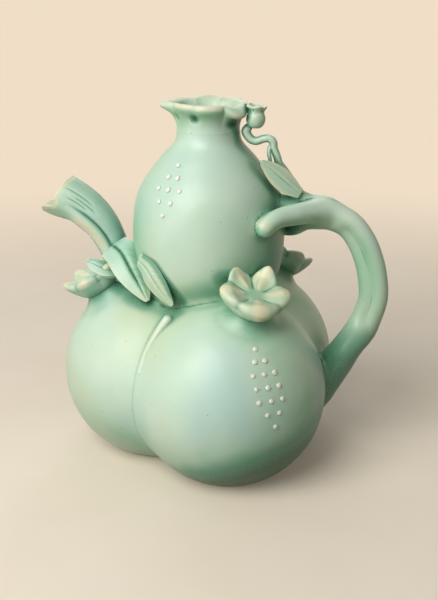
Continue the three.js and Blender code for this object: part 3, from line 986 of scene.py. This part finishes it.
def upper_rings():
    """Up the outside, over the neck's edge and down the inside."""
    rings = through(upper_side, 88)
    slope = np.gradient(rings, axis=0)
    inwards = np.stack([-slope[:, 1], slope[:, 0]], axis=1) / np.linalg.norm(slope, axis=1)[:, None]
    inside = (rings + inwards * UPPER_WALL)[::-2]
    inside = inside[(inside[:, 1] > UPPER_FOOT + UPPER_WALL) & (inside[:, 0] > THROAT)]
    foot = [(THROAT, UPPER_FOOT), (10.5, UPPER_FOOT)]
    top = (THROAT, UPPER_FOOT + UPPER_WALL)
    return [*foot, *map(tuple, rings), *map(tuple, inside), top, foot[0]]


pieces["upper_fruit"] = throw("upper_fruit_glazed", upper_rings(), FRUIT_SIDES)
set_down(pieces["upper_fruit"], (0, 0, 1), (0, 0, 0))
first_ball = throw("first_ball", ball_rings(), FRUIT_SIDES)
first_hollow = throw("first_hollow", hollow_rings(), 96)
for place in fruits:
    ball, inner = copy_of(first_ball), copy_of(first_hollow)
    for shell, foot in ((ball, 0), (inner, BALL_WALL)):
        set_down(shell, stalks[place], centres[place])
        edit(shell, lambda: flat_foot(foot))
    edit(inner, bpy.ops.mesh.normals_make_consistent, bpy.ops.mesh.flip_normals)
    join(ball, inner)
    ball.name = ball.data.name = f"{place}_fruit_glazed"
    pierce(ball, (0, 0, THROAT_BOTTOM), (0, 0, THROAT_TOP), THROAT)
    pieces[f"{place}_fruit"] = ball
pierce(pieces["left_fruit"], spout_line[0], spout_line[14], SPOUT_BORE)
throw_away(first_ball, first_hollow)
for name, piece in pieces.items():
    run_together(piece, name)

# %% [markdown]
# ## The handle
# Two branches as thick as a finger lie against each other, so that they give a grip and look
# grown. One starts on the front of the upper fruit with a blunt cut end, the other behind. They
# end in a tang that is pressed into the groove between two fruits. Rolls of clay laid along lines
# do just that, and a short thick one, the saddle, fills the corner between the fruit and the
# branches.

# %% Handle
sideways = constant((0, 1, 0))
for name, line, radius, facing, sides in (
        ("handle_front_branch", front_line, front_branch_radius, sideways, 40),
        ("handle_back_branch", back_line, back_branch_radius, sideways, 40),
        ("handle_tang", tang_line, tang_radius, constant((1, 0, -1)), 48)):
    pieces[name] = roll(f"{name}_glazed", line, radius, facing, sides, step=0.9)
    run_together(pieces[name], name)
saddle = roll("saddle", saddle_line, saddle_radius, sideways, sides=40, step=0.9)
run_together(saddle, "saddle")
join(pieces["handle_back_branch"], saddle)

# %% [markdown]
# ## The spout
# The spout is a leaf that is rolled into a tube. Its long edge laps over the front as a raised
# band with a groove beside it, its veins run up the tube, and its mouth is cut on a slant and
# pinched to a lip. A tube is thrown straight, its rings are pressed to that shape, and it is bent
# and cut.

# %% Spout
# Lines scored up the leaf: their side in degrees off the lap, and the shares of the tube they span
SCORED = ((38, 0.6, 0.74), (50, 0.56, 0.7), (62, 0.6, 0.76), (-40, 0.4, 0.7), (200, 0.3, 0.6))
SLANT = math.radians(39.5)


def spout_rings():
    length = length_of(spout_line)
    return [(spout_radius(share), share * length) for share in np.linspace(0, 1, int(length))]


def turned_past(turn, start):
    """How far round a place lies from a start, up to half a turn either way."""
    return (turn - start + math.pi) % (2 * math.pi) - math.pi


def press_leaf_roll(piece):
    """Presses the lapped edge, the veins and the flared lip into a straight tube."""
    local = as_made(piece)
    share = local[:, 2] / length_of(spout_line)
    radius = np.hypot(local[:, 0], local[:, 1])
    turn = np.arctan2(local[:, 1], local[:, 0])
    lap = np.radians(-92 - 24 * ramp(share, 0.2, 0.75))
    off = turned_past(turn, lap)
    fade = ramp(share, 0.08, 0.25) * (1 - ramp(share, 0.6, 0.8))
    edge = np.exp(-((off - 0.42) / 0.09) ** 2) * fade
    band = 1.6 * np.exp(-((off + 0.1) / 0.4) ** 4) * fade - 0.6 * edge
    scored = np.zeros(len(turn))
    for side, start, end in SCORED:
        away = turned_past(turn - lap - math.radians(side), 0.5 * (share - 0.6))
        begun, ended = ramp(share, start, start + 0.06), ramp(share, end, end + 0.05)
        scored += np.exp(-(away / 0.055) ** 2) * begun * (1 - ended)
    flare = 0.9 * ramp(share, 0.66, 0.84)
    beak = 1.5 * ramp(share, 0.66, 0.84) * np.exp(-((np.abs(turn) - math.pi) / 0.5) ** 2)
    wider = 1 + (band - 0.45 * np.minimum(scored, 1) + flare + beak) / radius
    local[:, :2] *= wider[:, None]
    reshape(piece, local)
    paint(piece, "line", np.clip(edge * 0.9 + scored * 0.35, 0, 1))
    paint(piece, "rib", np.exp(-((off + 0.05) / 0.34) ** 4) * fade * 0.8)


def draw_out_lip(piece, inwards):
    """Hollows the cut rim and draws its low end out to a point. inwards looks down the tube."""
    up_the_cut = np.array([-inwards[2], 0, inwards[0]])
    lip = spout_mouth - up_the_cut * 9.5
    points = places(piece)
    climb = (points - lip) @ up_the_cut
    near = ramp(-((points - lip) @ inwards), -13, -1)
    hollow = 2.8 * np.exp(-((climb - 7) / 4) ** 2) - 1.6 * np.exp(-((climb - 0.5) / 2.5) ** 2)
    move_to(piece, points + inwards * (hollow * near)[:, None])


spout = throw("spout_glazed", spout_rings(), 160)
press_leaf_roll(spout)
lay_along(spout, spout_line, sideways)
face = Vector((math.cos(SLANT), 0, -math.sin(SLANT)))
cut_place = at(*spout_mouth) + face * 0.55 * MM
edit(spout, lambda: bpy.ops.mesh.bisect(plane_co=cut_place, plane_no=face, clear_inner=True))
work(spout, "SOLIDIFY", thickness=2.4 * MM, offset=-1)
work(spout, "BEVEL", width=0.7 * MM, segments=3, limit_method="ANGLE", angle_limit=math.radians(50))
draw_out_lip(spout, np.array(face))
run_together(spout, "spout")
pieces["spout"] = spout

# %% [markdown]
# ## Crowns
# A pomegranate keeps the flower's crown at its top. Each one is a little cup whose rim is cut and
# drawn out into petals. Two outlines say it all: one through the middle of a petal and one
# through the notch between two. A cup is thrown to the notch's outline, and its points are then
# drawn out to the petal's, more or less, by where they lie round it.

# %% Crowns
def petalled(name, notch, petal, lobes, sides, rib=0.0):
    """A cup whose outline swings from notch to petal. lobes: bearing, reach, lift and breadth of
    each, and how far the notch after it is filled. rib raises a fold along each petal."""
    notch = through(notch, len(notch) * 4)
    petal = through(petal, len(notch))
    rim = petal[:, 0].argmax()
    cup = throw(name, [(max(radius, 0.03), height) for radius, height in notch], sides)
    local = as_made(cup)
    turn = np.arctan2(local[:, 1], local[:, 0])
    flat = np.stack([np.hypot(local[:, 0], local[:, 1]), local[:, 2]], axis=1)
    nearest = np.linalg.norm(flat[:, None] - notch[None], axis=-1).argmin(1)
    # Where each vertex lies round its nearest petal: -0.5 at one notch, 0 midway, 0.5 at the next
    bearing, reach, lift, breadth, web = np.array(lobes, float).T
    gap = (np.roll(bearing, -1) - bearing) % 360
    off = (np.degrees(turn)[:, None] - bearing + 180) % 360 - 180
    off = np.where(off > 0, off / gap, off / np.roll(gap, 1))
    which = np.abs(off).argmin(1)
    off = off[np.arange(len(off)), which]
    reach, lift, breadth = reach[which], lift[which], breadth[which]
    filled = np.roll(web, 1)[which] * (0.5 - off) + web[which] * (0.5 + off)
    share = 1 - np.abs(2 * off) ** breadth
    reach = share * reach + (1 - share) * filled
    drawn = notch[nearest] + reach[:, None] * (petal[nearest] - notch[nearest])
    outer = ramp(drawn[:, 0], notch[rim, 0] * 0.85, petal[:, 0].max())
    inner = (nearest > rim - 3) * ramp(drawn[:, 0], 3, 7)
    fold = np.exp(-(off / 0.17) ** 2) * share
    seam = np.exp(-((np.abs(off) - 0.5) / 0.08) ** 2)
    beside = np.exp(-((np.abs(off) - 0.22) / 0.05) ** 2)
    drawn[:, 1] += lift * outer * share + rib * inner * (fold - seam + np.cos(2 * math.pi * off))
    across, height = drawn.T
    reshape(cup, np.stack([across * np.cos(turn), across * np.sin(turn), height], axis=1))
    paint(cup, "rib", (0.5 + 0.5 * fold) * inner * (rib > 0))
    paint(cup, "line", np.clip(seam * 0.5 + beside * 0.25, 0, 1) * inner * (rib > 0))
    return cup


def raised(height, outline):
    return [(radius, height + up) for radius, up in outline]


crown_seat, crown_floor = [(0, -1), (6, -1), (9.6, -0.9)], [(3, 7.9), (1.6, 7.9), (0, 7.9)]
crown_notch = raised(NECK_TOP, [
    *crown_seat, (11, 0.4), (12, 2.2), (12.7, 4.2), (13.1, 6.2), (13.3, 7.8), (13, 9), (12, 9.5),
    (10.6, 9.2), (9, 8.6), (7.4, 8.2), (5.8, 8), (4.2, 7.9), *crown_floor,
])
crown_petal = raised(NECK_TOP, [
    *crown_seat, (11.4, 0.6), (13, 2.4), (14.6, 4.6), (15.9, 6.8), (16.8, 8.6), (16.9, 10),
    (15.8, 11), (13.6, 10.8), (11, 9.8), (8.4, 8.9), (6.2, 8.3), (4.4, 8), *crown_floor,
])
# Each petal's bearing from the picture's right, its reach, lift and breadth, and the web after it
crowns = {
    "front": [(9, 1.05, -1.4, 1.5, 0.3), (68, 0.85, 4.6, 1.6, 0), (128, 0.95, 4.2, 1.6, 0.25),
              (187, 1.1, -1.8, 1.3, 0.25), (278, 0.75, -3.4, 1.4, 0.25)],
    "back": [(8, 1.1, 1, 1.3, 0), (68, 0.9, 0, 1.6, 0), (128, 0.95, 0, 1.6, 0),
             (188, 0.9, 1, 1.6, 0), (248, 1, -1, 1.6, 0), (308, 0.95, -1, 1.6, 0)],
    "left": [(192, 1.1, 0.5, 1.3, 0.1), (252, 0.9, -1.5, 1.6, 0.2), (312, 0.8, -1, 1.8, 0.1),
             (12, 0.85, 0, 1.6, 0), (72, 0.85, 0, 1.6, 0), (132, 0.95, 1.5, 1.6, 0)],
}
for place, lobes in crowns.items():
    crown = petalled(f"{place}_crown_glazed", crown_notch, crown_petal, lobes, 144, rib=0.35)
    set_down(crown, stalks[place], centres[place])
    pieces[f"{place}_crown"] = crown
# The glaze is thin on a band down the outside of the front crown's lowest petal
crown = pieces["front_crown"]
band = np.abs((places(crown) - centres["front"]) @ TO_RIGHT - 13)
facing_down = numbers(crown.data.vertex_normals, "vector") @ np.array([0.163, -0.931, -0.2])
band = (1 - ramp(band, 1.2, 3.2)) * ramp(facing_down, 0.1, 0.5)
paint(crown, "rib", np.maximum(painted_on(crown, "rib"), band))
mouth_seat = [(11.2, -2), (13.8, -3.4), (15.35, -3), (15.38, -1.5)]
mouth_notch = raised(UPPER_NECK, [
    *mouth_seat, (15.25, 0), (15.15, 1.5), (15.2, 3), (15.5, 5), (16.1, 7.2), (16.9, 9.2),
    (17.5, 10.8), (17.4, 12), (16.4, 12.6), (15, 12.1), (13.8, 10.2), (12.8, 6.8), (11.8, 3),
    (11.2, 0.6),
])
mouth_petal = raised(UPPER_NECK, [
    *mouth_seat, (15.3, 0), (15.4, 1.5), (16, 3.4), (17.2, 5.6), (18.8, 7), (20.6, 7.7),
    (21.9, 8.5), (22.5, 9.8), (21.7, 11.2), (19.4, 12.1), (16.7, 11.7), (14.4, 9.2), (12.5, 5),
    (11.3, 0.6),
])
mouth_lobes = [(-169, 1.18, 1.4, 1.0, 0.05), (-124, 0.42, 1.2, 2.6, 0.25), (-79, 0.55, 0.6, 3, 0.3),
               (-34, 1, -2.2, 2, 0.25), (11, 0.8, -0.6, 1.8, 0.2), (56, 0.85, 1, 1.7, 0.1),
               (101, 0.6, 2.4, 2.6, 0.2), (146, 0.9, 1, 1.6, 0)]
mouth = petalled("mouth_crown_glazed", mouth_notch, mouth_petal, mouth_lobes, 192)
set_down(mouth, (0, 0, 1), (0, 0, 0), (1, 0, 0))
# Dents pressed in under the rim: each one's bearing, depth, width in degrees and height
rim_points = places(mouth)
out = np.hypot(rim_points[:, 0], rim_points[:, 1])
bearing = np.degrees(np.arctan2(rim_points[:, 1], rim_points[:, 0]))
dents = np.zeros(len(out))
for where, deep, wide, up in ((-104, 1.3, 7, 6), (-31, 1.2, 13, 3.6), (-146, 0.6, 7, 6),
                              (34, 0.7, 8, 6), (79, 0.5, 8, 6), (124, 0.9, 8, 6), (169, 0.5, 8, 6)):
    off = (bearing - where + 180) % 360 - 180
    dents += deep * np.exp(-(off / wide) ** 2 - ((rim_points[:, 2] - UPPER_NECK - up) / 1.9) ** 2)
dents *= out > 13.8
rim_points[:, :2] *= (1 - 1.2 * dents / out)[:, None]
move_to(mouth, rim_points)
# The dents are darkened too: painted shade in the hollows under the rim
paint(mouth, "line", np.clip(dents, 0, 1))
pieces["mouth_crown"] = mouth
print("crowns:", [len(p.data.polygons) for n, p in pieces.items() if "crown" in n], "faces")

# %% [markdown]
# ## Twig and bud
# A thin branch leaves the handle, runs up the shoulder and curls beside the mouth, where it
# carries a bud: a small closed fruit with a torn crown of its own. A short tendril springs from
# the curl.

# %% Twig and bud
forward = constant((0, -1, 0))
twig = roll("bud_twig_glazed", twig_line, twig_radius, forward, sides=24, step=0.6)
run_together(twig, "bud_twig")
tendril_line = through(off_upper([
    (-8.2, 0.93, 15.2), (-9.5, 0.9, 12), (-10.4, 0.865, 9), (-9.6, 0.83, 7.6), (-8, 0.83, 8.6),
]), 40)
join(twig, roll("tendril", tendril_line, tendril_radius, forward, sides=14, step=0.6))
pieces["bud_twig"] = twig

bud_belly = [(0, 0), (2.2, 0.3), (3.7, 1.5), (4.5, 3.3), (4.6, 5), (4.2, 6.6)]
bud_notch = [*bud_belly, (3.4, 7.8), (3.2, 8.5), (4.1, 9.3), (4.2, 10.2), (3.4, 10.3), (2.4, 9.2),
             (0, 8.6)]
bud_petal = [*bud_belly, (3.5, 7.9), (3.9, 8.8), (5.3, 9.8), (5.7, 10.9), (4.7, 11.3), (2.6, 9.4),
             (0, 8.6)]
bud_lobes = [(-10, 0.55, 0, 2, 0), (62, 0.6, 0.3, 2, 0.2), (134, 0.9, 0.4, 1.8, 0),
             (206, 0.8, 0, 2, 0.2), (278, 0.8, 0.2, 1.8, 0)]
BUD_LEAN = math.radians(4)
bud = petalled("bud_glazed", bud_notch, bud_petal, bud_lobes, 80)
lean = Vector((math.sin(BUD_LEAN), 0, math.cos(BUD_LEAN)))
set_down(bud, lean, twig_line[0] + (1.8, 0, -1.4))
pieces["bud"] = bud
print("twig", len(twig.data.polygons), "faces, bud", len(bud.data.polygons), "faces")

# %% [markdown]
# ## Leaves
# Leaves are cut from a thin sheet, their veins are drawn with a point, and they are pressed on
# while soft. A grid is the sheet. It is cut to a leaf's outline, cupped, scored along the midrib
# and the veins, bent along its line, and then given its thickness.

# %% Leaves
LEAF_THICKNESS = 2.56


def cut_leaf(name, line, half_width, facing, camber, widest=0.45, curl=0.0, root_width=0.38,
             shaded_half=0.0, cream=0.45):
    """A leaf from a sheet. widest is the share of its length at which it is half_width across
    from the midrib, and root_width is its root's part of that. It is cupped by camber, and curl
    lifts its rims. shaded_half lays painted shade on one half, and cream bares the rims."""
    put_down()
    bpy.ops.mesh.primitive_grid_add(x_subdivisions=22, y_subdivisions=60, size=2)
    leaf = bpy.context.object
    leaf.name = leaf.data.name = name
    across, along = numbers(leaf.data.vertices, "co")[:, :2].T
    share, off = (along + 1) / 2, np.abs(across)
    narrow = math.asin(root_width) / (math.pi / 2)
    root = np.sin(math.pi / 2 * (narrow + (1 - narrow) * share / widest))
    tip = np.cos(math.pi / 2 * np.clip((share - widest) / (1.02 - widest), 0, 1)) ** 0.8
    swell = np.where(share < widest, root, tip)
    midrib = -0.6 * np.exp(-(across / 0.12) ** 2) + 0.2 * np.exp(-((off - 0.26) / 0.14) ** 2)
    slope = (share * 9 - off * 1.6) % 1
    veins = -0.06 * np.exp(-((slope - 0.5) / 0.13) ** 2) * np.exp(-((off - 0.5) / 0.28) ** 2)
    edge = curl * ramp(off, 0.72, 1) * np.sin(share * math.pi)
    lift = -camber * across ** 2 * swell + (midrib + veins) * swell + edge
    reshape(leaf, np.stack([across * half_width * swell, lift, share * length_of(line)], axis=1))
    # Painted shade on one half of the leaf, besides the scored midrib and veins
    scored = shaded_half * ramp(across, 0.2, 0.9) + 0.75 * np.exp(-(across / 0.13) ** 2)
    scored += 0.1 * np.exp(-((slope - 0.5) / 0.12) ** 2) * (off < 0.75)
    paint(leaf, "line", np.clip(scored, 0, 1) * ramp(share, 0, 0.1) * (1 - ramp(share, 0.8, 1)))
    paint(leaf, "rib", ramp(off, 0.3, 0.95) * cream * (1 - shaded_half * (across > 0)))
    lay_along(leaf, line, facing)
    work(leaf, "SOLIDIFY", thickness=LEAF_THICKNESS * MM, offset=0)
    work(leaf, "BEVEL", width=MM, segments=3, limit_method="ANGLE", angle_limit=math.radians(60))
    edit(leaf, bpy.ops.mesh.normals_make_consistent)
    return leaf


def turned_to_viewer(facing, share):
    """The way a piece faces, turned some of the way out of the picture."""
    return lambda place: facing(place) * (1 - share) + TO_VIEWER * share


from_upper = away_from(np.array([0, 0, UPPER_WIDEST]))
from_left = away_from(off_lower("left", [(150, 70, -30)])[0])
# Each leaf's line and its shape
leaves = {
    "shoulder_leaf": (
        off_upper([(-6.9, 0.683, 11.3), (-10, 0.724, 9.2), (-13.4, 0.768, 7.9), (-17.2, 0.811, 7),
                   (-22.2, 0.853, 6)]),
        {"half_width": 4.9, "facing": turned_to_viewer(from_upper, 0.85), "camber": 0.9,
         "cream": 0.8}),
    "shoulder_back_leaf": (
        off_upper([(2.2, 0.677, 11.3), (4.3, 0.723, 9.8), (6.8, 0.77, 9.4), (9.4, 0.819, 9.7)]),
        {"half_width": 3.6, "facing": from_upper, "camber": 0.6}),
    "spout_front_leaf": (
        off_lower("left", [(-162, 71.1, 21.7), (-138.9, 72.2, 19.1), (-116, 69.4, 13.3),
                           (-99.9, 65, 7.1), (-90, 60, 2.7)]),
        {"half_width": 8.2, "facing": turned_to_viewer(from_left, 0.6), "camber": 1.3,
         "widest": 0.36, "curl": 0.2, "root_width": 0.9}),
    "spout_inner_leaf": (
        off_upper([(-139.8, 0.354, 1.1), (-131, 0.325, 0.9), (-123.5, 0.268, 1.3),
                   (-116.5, 0.208, 2.2), (-110, 0.15, 3.4)]),
        {"half_width": 6, "facing": turned_to_viewer(from_upper, 0.3), "camber": 1,
         "widest": 0.42, "root_width": 0.6, "shaded_half": 0.9}),
    "spout_outer_leaf": (
        off_lower("left", [(-144.3, 69.8, 8.9), (-148.8, 65.7, 12.8), (-155.6, 62.3, 16.8),
                           (-162.1, 60, 20.1)]),
        {"half_width": 4.4, "facing": from_left, "camber": 0.9, "widest": 0.4}),
}
for name, (points, shape) in leaves.items():
    nudge = (1.8, 0, 0.5) if name == "spout_front_leaf" else (0, 0, 0)
    pieces[name] = cut_leaf(f"{name}_glazed", through(points, 60) + nudge, **shape)
print("leaves:", ", ".join(leaves))

# %% [markdown]
# ## The strip in the groove
# A thin strip of slip is trailed down the groove between the left and the front fruit and thins
# out to nothing.

# %% Strip
from_front = away_from(centres["front"])
strip = roll("groove_tendril_glazed", strip_line, strip_radius, from_front, sides=24, step=0.7)
paint(strip, "rib", np.ones(len(strip.data.vertices)))
pieces["groove_tendril"] = strip
print("strip", round(length_of(strip_line)), "mm")

# %% [markdown]
# ## Seeds
# Dots of white slip stand for the seeds that show where a ripe fruit splits. One dome is shaped,
# and a copy is set down on each seed's place, facing the way that the fruit faces there.

# %% Seeds
SEED_RADIUS = 1.3
SEED_FLATNESS = 0.55
SEED_LIFT = 0.12  # its middle's height over the fruit
put_down()
bpy.ops.mesh.primitive_uv_sphere_add(segments=20, ring_count=12, radius=1)
first_seed = bpy.context.object
dome = numbers(first_seed.data.vertices, "co")
dome[:, 2] = np.where(dome[:, 2] > 0, dome[:, 2] * 0.8, dome[:, 2] * 0.5)
seed_random = np.random.default_rng(7)
seed_names = sorted(name for name in frame["nodes"] if "_seed_" in name)
for name in seed_names:
    low, high = (np.array(corner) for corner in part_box(name))
    middle = ((low + high) / 2 - AXIS) / MM
    distance = forms["front_fruit" if name.startswith("front") else "upper_fruit"][0]
    way = np.array([distance((middle + step)[None])[0] - distance((middle - step)[None])[0]
                    for step in np.eye(3) * 0.05])
    way /= np.linalg.norm(way)
    size = SEED_RADIUS * seed_random.uniform(0.88, 1.08)
    reshape(first_seed, dome * size * (1, 1, SEED_FLATNESS))
    seed = copy_of(first_seed)
    seed.name = seed.data.name = f"{name}_slip"
    off = distance(middle[None])[0]
    set_down(seed, way, middle - way * (off - SEED_LIFT))
    pieces[name] = seed
throw_away(first_seed)
print("seeds:", len(seed_names))

# %% [markdown]
# ## Where the glaze pools, where it runs thin, and where light and shade are painted
# Molten glaze flows off sharp edges and gathers in hollows, and shade falls in those hollows, so
# the darkening painted there stands for both. Both can be measured on the shape. A point is
# sheltered if, some way out from it, another surface is nearer than it is. It stands out if its
# neighbours all lie behind it. Painted shade is also laid under each fruit and on its side away
# from the light, and a painted highlight on the side that faces the light. The three values are
# stored on each piece for its material to read.

# %% Shelter and edges
corners, faces = [], []
for piece in pieces.values():
    start = sum(len(c) for c in corners)
    corners.append(places(piece))
    faces += [[start + v for v in face.vertices] for face in piece.data.polygons]
everything = BVHTree.FromPolygons(np.vstack(corners).tolist(), faces)


def sheltered(points, ways):
    """How closely other surfaces stand over each point, looked for at three steps out from it."""
    total = np.zeros(len(points))
    for step, weight in ((2, 0.3), (6, 0.35), (16, 0.35)):
        out = points + ways * step
        apart = np.array([everything.find_nearest(q)[3] for q in out.tolist()])
        total += weight * np.clip(1 - (apart + 0.02) / step, 0, 1)
    return total


def neighbours(piece):
    ends = np.empty(len(piece.data.edges) * 2, int)
    piece.data.edges.foreach_get("vertices", ends)
    return ends.reshape(-1, 2).T


def mean_of(pairs, at_first, at_second, total):
    """The mean at each vertex of what its edges bring to their first and their second ends."""
    first, second = pairs
    count = np.bincount(np.concatenate(pairs), minlength=total).clip(1)
    return (np.bincount(first, at_first, total) + np.bincount(second, at_second, total)) / count


def evened(values, pairs, rounds):
    """Each vertex's value, evened out with its neighbours'."""
    first, second = pairs
    for _ in range(rounds):
        around = mean_of(pairs, values[second], values[first], len(values))
        values = 0.5 * values + 0.5 * around
    return values


def standing_out(points, ways, pairs):
    """Curvature at each vertex, in 1/mm, more than nothing on an edge that stands out."""
    first, second = pairs
    gap = points[second] - points[first]
    span = np.maximum((gap ** 2).sum(1), 1e-9)
    at_first = -(gap * ways[first]).sum(1) * 2 / span
    at_second = (gap * ways[second]).sum(1) * 2 / span
    return evened(mean_of(pairs, at_first, at_second, len(points)), pairs, 2)


# %% Pooled glaze and painted shade, thin glaze and painted highlight
SHADE_WAY = np.array([0.36, 0, -0.93])  # the way, down and to the right away from the light, in which painted shade grows
# How much shade is painted under each fruit, and the slopes along that way between which it grows
SHADE_UNDER_FRUITS = {"upper_fruit": (0.9, -0.1, 0.7), "front_fruit": (1.2, 0.12, 0.84),
            "back_fruit": (0.9, 0.3, 0.95), "left_fruit": (0.15, 0.5, 1.0)}
# The ways that the painted highlights on some pieces face
HIGHLIGHT_WAYS = {"upper_fruit": (0.04, -0.9, 0.42), "mouth_crown": (0.04, -0.9, 0.42),
         "spout": (-0.25, -0.8, 0.55), "handle_front_branch": (0.2, -0.5, 0.84),
         "handle_back_branch": (0.2, -0.5, 0.84)}
crevice = through(leaves["spout_inner_leaf"][0], 30)[10:]


def painted_shade(name, points, ways):
    """Painted shade under a fruit, beside the inner leaf and at the handle's foot."""
    if "handle" in name:
        return 0.7 * (1 - ramp(points[:, 2], 55, 85))
    amount, start, end = SHADE_UNDER_FRUITS.get(name, (0, 0, 1))
    below = amount * ramp(ways @ SHADE_WAY, start, end)
    if name == "upper_fruit":
        beside = to_segments(points, crevice[:-1], crevice[1:])[0].min(1)
        below = np.maximum(below, 0.9 * (1 - ramp(beside, 5, 10)))
    return below


for name, piece in pieces.items():
    leaf, branch = "leaf" in name, "branch" in name
    small = leaf or name == "bud" or name in [f"{place}_crown" for place in crowns]
    points = places(piece)
    ways = numbers(piece.data.vertex_normals, "vector")
    rib, line = painted_on(piece, "rib"), painted_on(piece, "line")
    pairs = neighbours(piece)
    bend = standing_out(points, ways, pairs)
    # The darkening is glaze pooled in hollows and scored lines, and painted shade where other
    # surfaces stand close and in concave creases
    shelter = 0.7 if small else 0.6 if name == "spout" else 1.2
    pool_and_shade = evened(np.clip(sheltered(points, ways) * shelter, 0, 1), pairs, 4) * (1 - 0.7 * rib)
    pool_and_shade += 0.5 * ramp(-bend, 0.15, 0.9) + 0.7 * line
    pool_and_shade = np.clip(np.maximum(pool_and_shade, painted_shade(name, points, ways)), 0, 1)
    edge = ramp(bend, 0.2, 1.1) * (0.5 if leaf else 0.15 if branch else 1)
    if name == "mouth_crown":
        edge = 0.9 * ramp(bend, 0.08, 0.4)
    thin = np.maximum(edge, rib) * (1 - pool_and_shade)
    # A painted highlight on the side that faces the light, less where the glaze pools or shade is
    # painted
    toward_highlight = ways @ np.array(HIGHLIGHT_WAYS.get(name, (-0.4, -0.8, 0.45)))
    milk_and_highlight = (0.3 if small else 0.6) * ramp(toward_highlight, 0.2 if branch else 0.45, 0.9) * (1 - pool_and_shade)
    # The root's blunt end is cream on its upper side: thin glaze over the cut edge and a painted
    # highlight
    if name == "handle_front_branch":
        root = np.linalg.norm(points - front_line[0], axis=1)
        thin = np.maximum(thin, 0.55 * (1 - ramp(root, 6, 13)) * ramp(toward_highlight, 0, 0.7))
    # The strip in the groove is milky white all over, the colour of its slip
    if name == "groove_tendril":
        thin, milk_and_highlight = 0.3 * thin, np.ones(len(points))
    for value, values in (("pool_and_shade", pool_and_shade), ("thin", thin), ("milk_and_highlight", milk_and_highlight)):
        paint(piece, value, values)
    if "seed" not in name:
        print(name, "pool_and_shade", pool_and_shade.mean().round(2), "thin", thin.mean().round(2))

# %% [markdown]
# ## Finish the pieces
# Each piece gets its glaze and smooth shading, takes its node's place, and rides on the pitcher's
# one body.

# %% Finish
glaze_of = {"celadon_glaze": body_glaze, "pale_celadon_glaze": small_glaze,
            "white_slip": slip_material}
slots = {part["node"]: part["material_slot"] for part in frame["record"]["subparts"]}
for name, piece in pieces.items():
    pick_up(piece)
    piece.data.materials.clear()
    piece.data.materials.append(glaze_of[slots[name]])
    bpy.ops.object.shade_smooth_by_angle(angle=math.radians(60))
    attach(piece, "root")
    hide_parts(name)
print(len(pieces), "pieces,", sum(len(p.data.polygons) for p in pieces.values()), "faces")
